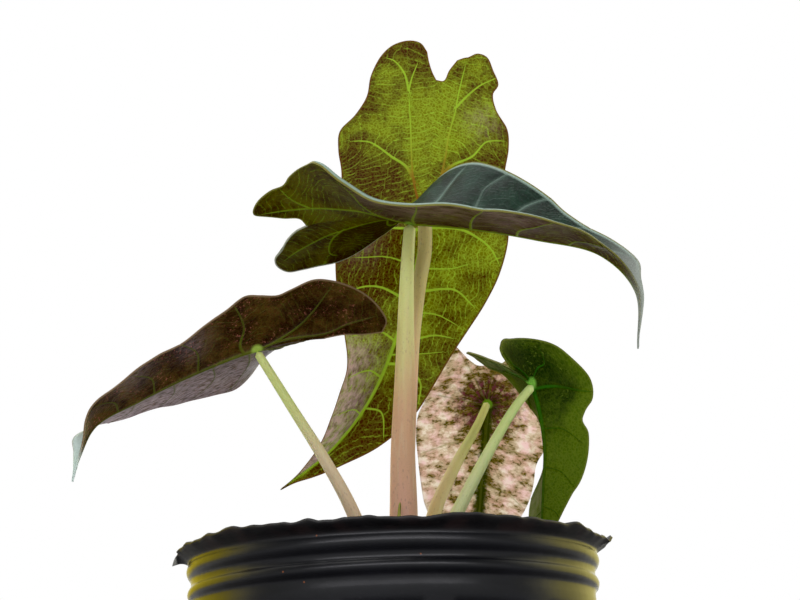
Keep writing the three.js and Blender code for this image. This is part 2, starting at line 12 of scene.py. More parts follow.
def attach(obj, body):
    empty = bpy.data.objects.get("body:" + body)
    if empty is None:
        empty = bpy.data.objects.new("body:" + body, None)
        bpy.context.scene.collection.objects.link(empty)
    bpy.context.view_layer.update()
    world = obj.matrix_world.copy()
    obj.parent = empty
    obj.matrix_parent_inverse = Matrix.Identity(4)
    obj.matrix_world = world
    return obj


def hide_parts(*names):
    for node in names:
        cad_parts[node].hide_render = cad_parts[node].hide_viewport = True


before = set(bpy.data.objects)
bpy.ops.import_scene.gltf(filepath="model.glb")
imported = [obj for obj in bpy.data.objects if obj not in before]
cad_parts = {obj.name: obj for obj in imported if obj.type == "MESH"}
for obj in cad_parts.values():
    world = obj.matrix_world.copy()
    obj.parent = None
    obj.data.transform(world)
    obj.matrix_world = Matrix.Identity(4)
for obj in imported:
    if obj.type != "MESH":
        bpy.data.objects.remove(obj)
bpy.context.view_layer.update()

MM = 0.001
TURN = 2 * np.pi

# Studio

CAMERA_PLACE = (5.7, -800.0, 24.0)
CAMERA_PITCH = 14.6
CAMERA_ROLL = 1.8
CAMERA_LENS = 98.1
SENSOR_WIDTH = 36.0
CLIP_START = 0.01
FLOOR_SIZE = 6
BACK_LIGHT = 2.0
ROOM_LIGHT = 0.28
WALL_LIGHT = 0.32
BLACK_LEVEL = 0.003

# Leaf blades

BLADE_THICKNESS = 0.5
ROWS = 224
SINUS_ROWS = 48
COLUMNS = 44
SPINE_STEPS = 40
MIDRIB_STEPS = 120
RIB_STEPS = 12
RIB_PARTS = "abcd"
RIB_SLOTS = 3 * len(RIB_PARTS)
RIB_FAR = 12.0
MIDRIBS = {"blade_back": 0.8, "blade_top": 0.8, "blade_left": 0.85, "blade_right": 0.6, "blade_small": 0.6}
JOIN_REACH = 1.6
FIELD_STEP = 0.2
PROBE = 0.5
EVEN_COLUMNS = 0.45
QUILT = 0.45
QUILT_REACH = 3.5
WAVE = 0.5
WAVE_SIZE = 9.0
WAVE_SEED = 11
WAVE_REACH = (3, 20)
CALM_EDGE = 5
VEIN_SINK = 0.2
VEIN_RISE = 0.25
JOINT_RISE = 0.5
JOINT_REACH = 50
EDGE_BULGE = 0.2
ROLL_RADIUS = 1.05
LEAST_ROLL = 0.05
MOST_ROLL = 0.6
NO_ROLL = [0, 0]

# A main vein loses RIB_TAPER of its half-width along its run, and fades out over RIB_FADE of it.
# The ladder veins follow each main vein by its nearness to the power LADDER_PULL.

RIB_TAPER = 0.65
RIB_FADE = (1.02, 0.9)
LEAST_RIB = 0.02
RIDGE_SPREAD = 1.3
LADDER_PULL = 2.5
LADDER_SOFT = 0.5
SLOPE_RANGE = (0.5, 2.5)

# Each leaf repeats the form of its node. Its spine runs from beyond its back lobes, through the
# stalk's joint, to its tip. "fold" is how many degrees the left and right halves fold up along the
# spine. "ribs" are the main veins of each half, as a half-width and the points that the vein passes
# on the flat leaf. "roll" is how many degrees the margin curls over, from the lobe's tip to the
# leaf's tip.

LEAVES = {
    "blade_back": {
        "attach": 2,
        "spine": [(26, 46, 364), (23.5, 43, 337), (16.5, 32, 272.5), (6.5, 27, 232), (-6.5, 23, 200),
                  (-22.5, 20, 179), (-43.5, 18, 163)],
        "facing": [(0, 1, 0)] * 7,
        "fold": [(5, 5), (5, 5), (8, 8), (20, 10), (40, 12), (45, 15), (30, 20)],
        "left": {
            "sinus": [(0, -65), (-2, -69), (-3.5, -73.5), (-4.5, -78)],
            "margin": [
                (-4.5, -78), (-7.5, -82), (-13, -83), (-19, -81), (-24, -75), (-27, -66), (-28, -57),
                (-32, -49), (-38, -41), (-38, -32), (-36, -22), (-35, -8), (-35, 8), (-33, 22), (-29, 38),
                (-22, 54), (-18, 66), (-17, 78), (-14, 90), (-9, 101), (-4, 112), (-1, 120), (0, 128)],
            "ribs": [
                (0.5, [(0, 0), (-4, -10), (-7, -21), (-9, -40), (-11, -60)]),
                (0.5, [(-11, -60), (-13.5, -68), (-18, -73.5), (-22, -75)]),
                (0.4, [(-11, -60), (-10, -66), (-8, -73)]),
                (0.65, [(-6.5, -19), (-10, -24.6), (-15.5, -28.6), (-25.5, -35.6), (-34, -36)]),
                (0.6, [(0, 4), (-10, 3.9), (-18.5, 5.4), (-33, 12)]),
                (0.4, [(0, 20), (-12, 17), (-26, 19)]),
                (0.6, [(0, 35), (-7, 31.9), (-12.5, 30.4), (-19, 30.9), (-28, 36)]),
                (0.45, [(0, 52), (-8, 49), (-20, 53)]), (0.45, [(0, 68), (-7, 66), (-16, 71)]),
                (0.35, [(0, 85), (-5, 84), (-12, 89)])],
        },
        "right": {
            "sinus": [(0, -65), (3, -65), (5, -70), (8, -75)],
            "margin": [
                (8, -75), (11, -76.5), (13, -77), (16, -79), (20, -78), (23, -72), (25.5, -66),
                (23.5, -61), (25, -54), (30, -46), (31, -37), (30, -26), (31, -12), (34, 0), (33, 14),
                (30, 26), (26, 38), (23, 48), (20, 62), (18, 74), (13, 90), (7, 104), (3, 116), (1, 122),
                (0, 128)],
            "ribs": [
                (0.5, [(0, 0), (3, -12), (5.5, -29), (6.5, -40), (8.5, -51), (9.5, -60), (12, -76)]),
                (0.5, [(8.7, -53), (14, -60), (18.5, -64.6), (25, -69)]),
                (0.6, [(4, -20), (8, -26), (16.5, -31.6), (22, -38.6), (30, -40)]),
                (0.7, [(0, 2.5), (14.5, 0.4), (22, 2.4), (28, 6), (33, 12)]),
                (0.4, [(0, 20.5), (6.5, 18.9), (14, 16.9), (21, 13)]),
                (0.6, [(0, 31), (6, 28.4), (12, 25.9), (17.5, 24.9), (27, 30)]),
                (0.4, [(0, 40), (7, 37.4), (13, 36.4), (22, 38)]),
                (0.55, [(0, 51.5), (8, 47.9), (14, 44.4), (22, 43)]),
                (0.35, [(0, 58), (8.5, 54.4), (20, 49)]),
                (0.6, [(0, 62), (6, 60), (11.5, 61.4), (15, 63.9), (17.5, 71)]),
                (0.4, [(0, 82), (6, 80), (13, 88)])],
        },
    },
    "blade_top": {
        "attach": 3,
        "spine": [(-52.5, 9, 260.5), (-30.5, 4, 264), (-10.5, -1, 264.5), (10.5, -8, 260.5),
                  (32, -14, 256), (56.5, -20, 249), (80, -26, 240.5), (92, -30, 225), (91.5, -31, 204)],
        "facing": [(0, 0, 1)] * 7 + [(0.5, 0, 1), (1, 0, 0.3)],
        "fold": [(-20, 22), (-18, 30), (4, 14), (44, -1), (62, 0), (59, 5), (48, 8), (58, 20), (0, 0)],
        "left": {
            "sinus": [(0, -42), (-2, -47), (-6, -52), (-11, -56)],
            "margin": [
                (-11, -56), (-15, -60), (-20, -61), (-25, -58), (-26, -52), (-27, -45), (-30, -38),
                (-32, -30), (-33, -20), (-35, -8), (-36, 4), (-36, 14), (-33, 24), (-29, 34), (-25, 43),
                (-21, 51), (-16.5, 58), (-12.5, 66), (-11, 73), (-10, 80), (-8.5, 86), (-4.5, 91),
                (-2, 100), (-1.2, 110), (0, 117)],
            "ribs": [
                (0.75, [(0, 0), (-4, -10), (-8, -21), (-9.5, -36), (-14.5, -51.5), (-18, -58)]),
                (0.55, [(-9.3, -31), (-14, -36), (-22.5, -39), (-26, -36)]),
                (0.6, [(-3, -8), (-14, -14), (-24, -18), (-32, -16)]),
                (0.6, [(0, 4), (-14, 6), (-28, 10), (-35, 14)]),
                (0.6, [(0, 22), (-11.5, 23), (-20.5, 24), (-31, 31)]),
                (0.55, [(0, 37), (-12, 39), (-18.5, 43.5), (-23, 49)]),
                (0.45, [(0, 56), (-8, 59), (-13, 68)]), (0.4, [(0, 74), (-5, 77), (-9, 85)])],
            "roll": [0, 0, 0, 20, 20, 0],
        },
        "right": {
            "sinus": [(0, -42), (4, -43.5), (6, -49), (9, -54)],
            "margin": [
                (9, -54), (13, -59), (18, -56), (21, -50), (22, -44.5), (26, -41), (30, -37), (35.5, -31),
                (41.5, -25.5), (42, -20), (38, -13), (34, -5), (33, 8), (34, 20), (31, 34), (28, 48),
                (24, 60), (18, 72), (12, 80), (7, 86), (4, 93), (2.5, 101), (1.2, 110), (0, 117)],
            "ribs": [
                (0.75, [(0, 0), (6.5, -11.5), (8, -26.5), (9.5, -45.5), (12, -57)]),
                (0.5, [(9, -38), (14, -43), (21, -46)]),
                (0.6, [(4, -6), (8.5, -12), (15, -14.5), (22, -15), (35, -20)]),
                (0.6, [(0, 2), (6.5, 3), (19.5, 8), (33, 12)]), (0.55, [(0, 24), (12, 27), (31, 36)]),
                (0.5, [(0, 42), (7.5, 44.5), (14, 52), (23, 61)]), (0.4, [(0, 62), (6, 66), (12, 78)])],
            "roll": [0, 40, 110, 110, 100, 90, 60, 20, 0],
        },
    },
    "blade_left": {
        "attach": 2,
        "spine": [(-0.5, -2, 218), (-23, -8, 216.5), (-48, -16, 211), (-68.5, -22, 202),
                  (-89.5, -28, 190.5), (-105, -33, 180.5), (-110, -35, 170), (-113, -35, 160)],
        "facing": [(0, 0, 1)] * 5 + [(-0.3, 0, 1), (-1, 0, 0.4), (-1, 0, 0.2)],
        "fold": [(38, 36), (42, 26), (41, -13), (41, -17), (32, -13), (22, 14), (0, 80), (0, 40)],
        "left": {
            "sinus": [(0, -27), (-1, -34), (-1, -42), (-2, -49)],
            "margin": [
                (-2, -49), (-7, -50), (-12, -47.5), (-17, -43), (-22, -36), (-26, -27), (-27, -20),
                (-24, -12), (-22.5, -8), (-24, -2), (-25.5, 3), (-22, 10), (-19, 18), (-16, 27),
                (-17, 38), (-17, 49), (-14, 58), (-13, 65), (-10, 70), (-4, 74), (-1.5, 80), (0, 89)],
            "ribs": [
                (0.6, [(0, 0), (-2, -10), (-2.5, -27.7), (-6, -35), (-10, -46)]),
                (0.55, [(-1, -5), (-5, -13), (-9, -18), (-15, -22.7), (-24, -28)]),
                (0.55, [(0, 5), (-4.5, 6.3), (-11, 4.3), (-16, 4.8), (-24, 7)]),
                (0.45, [(0, 24), (-9, 23), (-18, 30)]), (0.4, [(0, 42), (-8, 42), (-16, 50)]),
                (0.35, [(0, 57), (-6, 58), (-12, 66)])],
            "roll": [0, 0, 0, 20, 0, 0],
        },
        "right": {
            "sinus": [(0, -27), (2, -32), (4, -38), (7, -43)],
            "margin": [
                (7, -43), (11, -47), (16, -46), (21, -41), (25, -33), (27, -22), (28, -11), (28, -3),
                (27, 6), (25, 14), (22, 24), (18, 33), (14, 40), (12.5, 47), (13, 52), (12, 58), (9, 64),
                (8, 69), (6.5, 73), (3, 78), (1.2, 83), (0, 89)],
            "ribs": [
                (0.6, [(0, 0), (2, -10), (4, -22), (9, -38), (12, -45)]),
                (0.5, [(1, -4), (8, -12), (17, -16), (27, -15)]),
                (0.5, [(0, 3), (10, 2), (20, 5), (26, 12)]), (0.4, [(0, 18), (10, 17), (21, 25)]),
                (0.4, [(0, 34), (8, 34), (14, 41)]), (0.35, [(0, 50), (7, 52), (12, 60)])],
        },
    },
    "blade_right": {
        "attach": 2,
        "spine": [(42, -30, 200), (46, -15, 201), (53.5, -2, 198), (57, 2, 186.5), (58, 2, 173.5),
                  (56.5, 0, 158), (54.5, -3, 137)],
        "facing": [(-0.5, 0.6, 0.6), (-0.5, 0.6, 0.6), (-0.2, 0.9, 0.3)] + [(0, 1, 0)] * 4,
        "fold": [(68, 50), (70, 45), (78, 10), (92, 0), (92, 0), (76, 5), (50, 10)],
        "left": {
            "sinus": [(0, -17), (-2, -22), (-4, -27), (-6, -32)],
            "margin": [
                (-6, -32), (-8, -36), (-11, -37), (-13.5, -32), (-15, -24), (-16, -12), (-18, 0),
                (-19, 12), (-19, 24), (-17, 33), (-14, 42), (-9, 52), (-4, 62), (0, 70)],
            "ribs": [
                (0.5, [(0, 0), (-2, -8), (-4, -18), (-10, -35)]), (0.4, [(-1, -3), (-7, -8), (-15, -10)]),
                (0.45, [(0, 4), (-8, 5), (-18, 10)]), (0.4, [(0, 20), (-9, 21), (-18, 27)]),
                (0.35, [(0, 35), (-7, 36), (-15, 42)]), (0.3, [(0, 50), (-5, 52), (-9, 57)])],
        },
        "right": {
            "sinus": [(0, -17), (1, -20), (2, -24), (3, -28)],
            "margin": [
                (3, -28), (5, -30), (8, -25), (10.5, -19), (12.5, -12), (15, -5), (18.5, 0), (22, 5.5),
                (20.5, 11), (16.5, 14.5), (15, 17), (16.5, 20.5), (16.5, 24), (15.5, 30), (13.5, 37),
                (10.5, 43), (7, 51), (3, 61), (0, 70)],
            "ribs": [
                (0.25, [(0, 0), (1, -8), (2, -18), (5, -29)]),
                (0.25, [(0.5, -1), (6, -1.8), (9, -1.2), (14, -5)]),
                (0.55, [(0, 2.5), (8, 4.5), (17, 7.9), (21, 9)]), (0.22, [(0, 18), (7, 19), (15, 25)]),
                (0.2, [(0, 33), (6, 34), (12, 40)]), (0.2, [(0, 48), (5, 50), (8, 56)])],
        },
    },
    "blade_small": {
        "attach": 2,
        "spine": [(40.5, 52, 230), (40, 50, 218.5), (39, 46, 200.5), (37, 44, 182), (34.5, 43, 162),
                  (31, 43, 128)],
        "facing": [(0, 1, 0)] * 6,
        "fold": [(0, 0), (0, 0), (5, 5), (8, 8), (10, 10), (10, 10)],
        "left": {
            "sinus": [(0, -17), (-4, -17), (-7, -19), (-10, -22)],
            "margin": [
                (-10, -22), (-13, -25), (-18, -23), (-21, -15), (-23, -6), (-27, 5), (-27.5, 13),
                (-26, 23), (-24, 33), (-21, 43), (-14, 53), (-6, 61), (0, 66)],
            "ribs": [
                (0.4, [(0, 0), (-2, -4), (-9, -19), (-12, -24)]), (0.4, [(0, 1), (-11, -1.7), (-22, -4)]),
                (0.4, [(0, 16), (-10, 16), (-26, 22)]), (0.35, [(0, 34), (-10, 36), (-22, 42)]),
                (0.3, [(0, 48), (-7, 51), (-14, 56)])],
        },
        "right": {
            "sinus": [(0, -17), (3, -17), (7, -19), (10, -22)],
            "margin": [
                (10, -22), (13, -25), (17, -22), (19, -14), (19, -5), (21, 2), (24, 10), (24, 15),
                (21, 22), (20.5, 30), (19, 38), (16, 45), (12, 53), (6, 60), (0, 66)],
            "ribs": [
                (0.4, [(0, 0), (0.5, -4), (2, -12.7), (8, -20), (12, -24)]),
                (0.4, [(0, 1), (12.5, -2.7), (19, -6)]), (0.45, [(0, 16), (6, 17.3), (22, 20.3)]),
                (0.35, [(0, 33), (10, 35), (18, 41)]), (0.3, [(0, 48), (6, 51), (12, 53)])],
        },
    },
}

# Stalks, from the corm to the blades: the route, then the radii across and in depth at the foot, the
# middle and the top

CORM_TOP = 112
STALK_FOOT = CORM_TOP + 0.4
STALK_STEPS = 90
STALK_SIDES = 28
STALK_RIDGES = 0.025
STALK_DOME = 1.6
DOME_END = 0.15
STALKS = {
    "petiole_back": (
        [(2, 4.5, STALK_FOOT), (3, 5, 128), (5.5, 5.5, 150), (6.5, 7, 172), (8, 9.5, 195), (10, 14, 220),
         (13.2, 20, 243), (16, 27, 259), (16.5, 32, 272.5)],
        (3, 2.9, 2.8), (3, 2.8, 2.6)),
    "petiole_top": (
        [(3.5, -5.5, STALK_FOOT), (3.5, -5.5, 128), (4.5, -4, 149), (5, -4.5, 174), (6.5, -6, 200),
         (8, -8, 230), (9, -8.5, 245.5), (10.5, -8, 260.5)],
        (6.0, 4.2, 2.2), (3.6, 3.4, 2.2)),
    "petiole_left": (
        [(-7, 2, STALK_FOOT), (-6.5, 1, 128), (-14.5, -5, 152), (-24, -8, 170.5), (-36, -12, 190.5),
         (-48, -16, 211)],
        (3.2, 2.3, 1.6), (3, 2.2, 1.6)),
    "petiole_right": (
        [(10.5, -0.5, STALK_FOOT), (13.5, 0, 128), (23.5, 2, 149), (37.5, 1, 174), (48, -1.5, 190),
         (53.5, -2, 198)],
        (3.2, 2.4, 1.6), (3, 2.3, 1.6)),
    "petiole_small": (
        [(8.5, 9, STALK_FOOT), (11, 10, 128), (15.5, 14, 151), (24, 26, 171), (34, 39, 190),
         (39, 46, 200.5)],
        (3.2, 2.5, 1.5), (3, 2.4, 1.5)),
}

# The stalks' colours: foot, middle, top, dashes and how strongly the dashes show

STALK_LOOKS = {
    "petiole_back": ("ecb69a", "e8b894", "e6d486", "8a5a58", 0.3),
    "petiole_top": ("eab498", "dcae84", "dadc88", "8a5a62", 0.28),
    "petiole_left": ("f2ceb0", "ecd6ac", "d2dc84", "9a6a5e", 0.3),
    "petiole_right": ("e4eca8", "e2eaa6", "d4e68e", "9aa070", 0.2),
    "petiole_small": ("e8cc94", "dcc88a", "d2d270", "a07a58", 0.3),
}

SHOOT_ROUTE = [(1, -13, STALK_FOOT), (1, -13, 128), (2, -11.5, 140), (3.4, -9.8, 153.5)]
SHOOT_RADII = (1.7, 1.2, 0.5)
SHOOT_SKIN = 1.5
SHOOT_STEPS = 50
SHOOT_SIDES = 24
SHOOT_RIDGES = 0.03
SHOOT_DOME = 2.0
SLIT_TURN = 5.6
SLIT_WIDTH = 0.35
SLIT_DEPTH = 0.45

# Pot and soil. Each tab of the lip is its direction and half-width in degrees, and how far it
# reaches outwards and upwards.

POT_HEIGHT = 138
POT_BASE_RADIUS = 57
POT_TOP_RADIUS = 74
POT_BAND_HEIGHT = 114
POT_WALL = 1.5
POT_FLOOR = 2.2
POT_PANELS = 12
POT_PANEL_DEPTH = 0.9
POT_PANEL_SHARE = 0.72
POT_PANEL_EASE = 0.03
POT_PANEL_TURN = -18
POT_TURNS = 480
RIB_HEIGHT = 1.3
LIP_REACH = 4.4
LIP_CRINKLE = 0.9
LIP_SIDE_FLARE = 1
RAGGED_OUT = 0.6
RAGGED_UP = 0.75
LIP_TABS = [(182, 3.5, 1.6, -3.6), (176, 2.5, 0.4, 1.2), (356, 3.0, 1.4, 0.9), (351, 2.2, 0.2, -1.6),
            (214, 2.5, 0.3, 1.0), (327, 3.0, 0.2, 0.8)]
DENT = 0.08
DENT_SIZE = 13.0
DENT_SEED = 5
DRAIN_COUNT = 6
DRAIN_RADIUS = 5.5
DRAIN_CIRCLE = 42
SOIL_TOP = 125
SOIL_BASE = 2.5
SOIL_DOME = 2.5
SOIL_GAP = 0.6
SOIL_TURNS = 220
SOIL_RINGS = 110
SOIL_BITS = [(420, (2.6, 1.3, 0.5)), (80, (0.9, 0.8, 0.8))]
SOIL_SEED = 7


# Small helpers

def linear(code):
    """A colour from its six-digit code, as linear light"""
    parts = [int(code[i:i + 2], 16) / 255 for i in (0, 2, 4)]
    return (*(p / 12.92 if p < 0.04045 else ((p + 0.055) / 1.055) ** 2.4 for p in parts), 1.0)


def unit(vectors):
    return vectors / np.maximum(np.linalg.norm(vectors, axis=-1, keepdims=True), 1e-9)


def dense_curve(points, per=SPINE_STEPS):
    """A centripetal Catmull-Rom curve through the points, "per" steps for each span"""
    p = np.asarray(points, float)
    ends = np.vstack([2 * p[0] - p[1], p, 2 * p[-1] - p[-2]])
    p0, p1, p2, p3 = (ends[i:len(ends) - 3 + i][:, None] for i in range(4))
    d0, d1, d2 = (np.maximum(np.sum((b - a) ** 2, -1, keepdims=True) ** 0.25, 1e-4)
                  for a, b in ((p0, p1), (p1, p2), (p2, p3)))
    m1 = ((p1 - p0) / d0 - (p2 - p0) / (d0 + d1) + (p2 - p1) / d1) * d1
    m2 = ((p2 - p1) / d1 - (p3 - p1) / (d1 + d2) + (p3 - p2) / d2) * d1
    t = (np.arange(per) / per)[None, :, None]
    body = p1 + m1 * t + (3 * (p2 - p1) - 2 * m1 - m2) * t ** 2 + (2 * (p1 - p2) + m1 + m2) * t ** 3
    return np.vstack([body.reshape(-1, p.shape[1]), p[-1:]])


def smooth_list(values, place):
    """A smooth value from a short list, at places counted in list steps"""
    v = np.asarray(values, float)
    last = len(v) - 1
    at = np.clip(place, 0, last)
    i = np.minimum(at.astype(int), last - 1)
    t = at - i
    if v.ndim > 1:
        t = t[..., None]
    m0 = (v[i + 1] - v[np.maximum(i - 1, 0)]) / 2
    m1 = (v[np.minimum(i + 2, last)] - v[i]) / 2
    return ((2 * t ** 3 - 3 * t ** 2 + 1) * v[i] + (t ** 3 - 2 * t ** 2 + t) * m0
            + (3 * t ** 2 - 2 * t ** 3) * v[i + 1] + (t ** 3 - t ** 2) * m1)


def columns_at(at, steps, table):
    """Each column of a table, read between its steps"""
    return np.stack([np.interp(at, steps, table[:, k]) for k in range(table.shape[1])], -1)


def run_length(points):
    return np.concatenate([[0], np.cumsum(np.linalg.norm(np.diff(points, axis=0), axis=1))])


def at_fractions(points, fractions):
    """Points of a dense line at fractions of its length"""
    run = run_length(points)
    return columns_at(fractions, run / run[-1], points)


def ease(value, low, high):
    """0 at low and 1 at high, smoothly; low may be the larger one"""
    t = np.clip((value - low) / (high - low), 0, 1)
    return t * t * (3 - 2 * t)


def value_noise(x, y, size, seed, cells=64):
    """Smooth lumps of about one size on a plane, from -1 to 1"""
    grid = np.random.default_rng(seed).uniform(-1, 1, (cells, cells))
    u, v = x / size, y / size
    i, j = np.floor(u).astype(int), np.floor(v).astype(int)
    s, t = (w * w * (3 - 2 * w) for w in (u - i, v - j))
    low, high = (grid[i % cells, k % cells] * (1 - s) + grid[(i + 1) % cells, k % cells] * s
                 for k in (j, j + 1))
    return low * (1 - t) + high * t


def make_piece(node, points, triangles, materials, face_slots=None):
    """A smooth mesh object from millimetre points, riding on the part and replacing its node"""
    used, inverse = np.unique(triangles, return_inverse=True)
    mesh = bpy.data.meshes.new(node + "_fine")
    mesh.from_pydata((points[used] * MM).tolist(), [], inverse.reshape(-1, 3).tolist())
    for material in materials:
        mesh.materials.append(material)
    if face_slots is not None:
        mesh.polygons.foreach_set("material_index", face_slots.astype(np.int32))
    mesh.polygons.foreach_set("use_smooth", np.ones(len(mesh.polygons), bool))
    mesh.update()
    piece = bpy.data.objects.new(node + "_fine", mesh)
    bpy.context.scene.collection.objects.link(piece)
    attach(piece, "root")
    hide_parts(node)
    return piece


def corner_vectors(piece, corners, **tables):
    """Stores rows of each table on the mesh's corners, under the table's name"""
    for name, rows in tables.items():
        attribute = piece.data.attributes.new(name, "FLOAT_VECTOR", "CORNER")
        attribute.data.foreach_set("vector", np.ascontiguousarray(rows[corners], np.float32).ravel())


def ring_triangles(rings, sides):
    """Triangles between closed rings of points, and a fan at each end to the two points after them"""
    grid = np.arange(rings * sides).reshape(rings, sides)
    following = np.roll(grid, -1, axis=1)
    tail, head = np.full(sides, grid.size), np.full(sides, grid.size + 1)
    return np.concatenate([np.stack([grid[:-1], following[:-1], following[1:]], -1).reshape(-1, 3),
                           np.stack([grid[:-1], following[1:], grid[1:]], -1).reshape(-1, 3),
                           np.stack([tail, following[0], grid[0]], -1),
                           np.stack([head, grid[-1], following[-1]], -1)])


# Material nodes

class Shade:
    """The nodes of one material, with short calls to add them. "colour" is what is painted so far."""

    def __init__(self, owner):
        self.owner = owner
        owner.use_nodes = True
        self.tree = owner.node_tree
        self.tree.nodes.clear()
        self.colour = None

    def node(self, kind, inputs, **settings):
        node = self.tree.nodes.new(kind)
        for key, value in settings.items():
            setattr(node, key, value)
        for key, value in inputs.items():
            if isinstance(value, bpy.types.NodeSocket):
                self.tree.links.new(value, node.inputs[key])
            else:
                node.inputs[key].default_value = value
        return node

    def math(self, operation, *values):
        return self.node("ShaderNodeMath", dict(enumerate(values)), operation=operation).outputs[0]

    def times(self, first, *others):
        for other in others:
            first = self.math("MULTIPLY", first, other)
        return first

    def plus(self, base, value, factor=1.0):
        """The base and the value times the factor"""
        return self.math("MULTIPLY_ADD", value, factor, base)

    def vector(self, operation, *values):
        return self.node("ShaderNodeVectorMath", dict(enumerate(values)), operation=operation).outputs[0]

    def stretch(self, vector, *factors):
        return self.vector("MULTIPLY", vector, factors)

    def length(self, vector):
        return self.node("ShaderNodeVectorMath", {0: vector}, operation="LENGTH").outputs["Value"]

    def ease(self, value, low, high):
        """0 at low and 1 at high, smoothly; low may be the larger one"""
        inputs = {"Value": value, "From Min": low, "From Max": high}
        return self.node("ShaderNodeMapRange", inputs, interpolation_type="SMOOTHSTEP").outputs[0]

    def mix(self, share, first, second):
        """A colour between two, each of them a six-digit code, linear light or a socket"""
        first, second = (linear(c) if isinstance(c, str) else c for c in (first, second))
        inputs = {0: share, 6: first, 7: second}
        return self.node("ShaderNodeMix", inputs, data_type="RGBA").outputs[2]

    def paint(self, share, over):
        """Lays a colour over what is painted so far"""
        self.colour = self.mix(share, self.colour, over)

    def read(self, name):
        return self.node("ShaderNodeAttribute", {}, attribute_name=name).outputs["Vector"]

    def split(self, vector):
        return self.node("ShaderNodeSeparateXYZ", {0: vector}).outputs

    def join(self, x, y):
        return self.node("ShaderNodeCombineXYZ", {0: x, 1: y}).outputs[0]

    def noise(self, vector, scale, detail=3.0, roughness=0.55):
        inputs = {"Vector": vector, "Scale": scale, "Detail": detail, "Roughness": roughness}
        return self.node("ShaderNodeTexNoise", inputs).outputs[0]

    def cells(self, vector, scale, feature="F1"):
        inputs = {"Vector": vector, "Scale": scale}
        return self.node("ShaderNodeTexVoronoi", inputs, feature=feature).outputs

    def place(self):
        """The place on the piece, in millimetres"""
        return self.stretch(self.node("ShaderNodeTexCoord", {}).outputs["Object"], 1000.0, 1000.0, 1000.0)

    def surface(self, roughness, height, relief):
        """The surface that shows the painted colour, with bumps of the relief in metres"""
        bump = self.node("ShaderNodeBump", {"Height": height, "Distance": relief, "Strength": 1.0})
        inputs = {"Base Color": self.colour, "Roughness": roughness, "Normal": bump.outputs[0]}
        return self.node("ShaderNodeBsdfPrincipled", inputs)

    def finish(self, last, kind="ShaderNodeOutputMaterial"):
        self.node(kind, {"Surface": last.outputs[0]})
        return self.owner


class LeafShade(Shade):
    """One face of a leaf, with masks of its main veins, of a wide halo round them, of the ladder veins
    between them and of the fine net"""

    def __init__(self, name, ladder_step, net_size):
        super().__init__(bpy.data.materials.new(name))
        flat = self.read("flat")
        self.flat = flat
        self.x, self.y, _ = self.split(flat)
        self.joint = self.length(flat)
        least = RIB_FAR
        for part in RIB_PARTS:
            for value in self.split(self.vector("ABSOLUTE", self.read("ribs_" + part))):
                least = self.math("MINIMUM", least, value)
        self.main = self.ease(least, 1.5, 0.6)
        self.halo = self.ease(least, 5.0, 0.8)
        run, slope, self.edge = self.split(self.read("weave"))
        wander = self.plus(run, self.noise(flat, 0.2, 2.0), 2.2)
        wander = self.plus(wander, self.noise(flat, 0.75, 2.0), 0.9)
        step = self.math("DIVIDE", wander, ladder_step)
        apart = self.math("ABSOLUTE", self.math("SUBTRACT", self.math("FRACT", step), 0.5))
        apart = self.math("DIVIDE", self.times(apart, ladder_step), slope)
        each = self.node("ShaderNodeTexWhiteNoise", {"W": self.math("FLOOR", step)}, noise_dimensions="1D")
        strong = self.plus(0.4, each.outputs["Value"], 0.6)
        whole = self.ease(self.noise(flat, 0.5, 2.0), 0.38, 0.54)
        self.ladder = self.times(self.ease(apart, 0.34, 0.06), strong, whole)
        bend = self.node("ShaderNodeTexNoise", {"Vector": flat, "Scale": 0.6, "Detail": 2.0})
        warped = self.vector("ADD", flat, self.stretch(bend.outputs["Color"], 1.5, 1.5, 1.5))
        self.net = self.ease(self.cells(warped, 1 / net_size, "DISTANCE_TO_EDGE")["Distance"], 0.24, 0.05)
        self.cell = self.split(self.cells(warped, 1 / net_size)["Color"])[0]

    def pale_tip(self, name, above):
        """Pales the drip tip of the leaves whose tips have dried"""
        if name in TIP_PALE:
            code, *lengths = TIP_PALE[name]
            tip = LEAVES[name]["left"]["margin"][-1][1]
            self.paint(self.ease(self.y, tip - lengths[above], tip - 0.4 * lengths[above]), code)

    def finish_leaf(self, glow, glow_colour, roughness, relief, gleam):
        """A satin surface that lets part of the light through"""
        height = self.plus(self.main, self.ladder, 0.5)
        height = self.plus(height, self.net, 0.25)
        height = self.plus(height, self.noise(self.flat, 2.5, 2.0), 0.2)
        gloss = self.plus(roughness - 0.09, self.noise(self.flat, 0.6, 3.0), 0.18)
        surface = self.surface(gloss, height, relief)
        surface.inputs["Specular IOR Level"].default_value = gleam
        through = self.node("ShaderNodeBsdfTranslucent", {"Color": glow_colour})
        inputs = {0: glow, 1: surface.outputs[0], 2: through.outputs[0]}
        return self.finish(self.node("ShaderNodeMixShader", inputs))
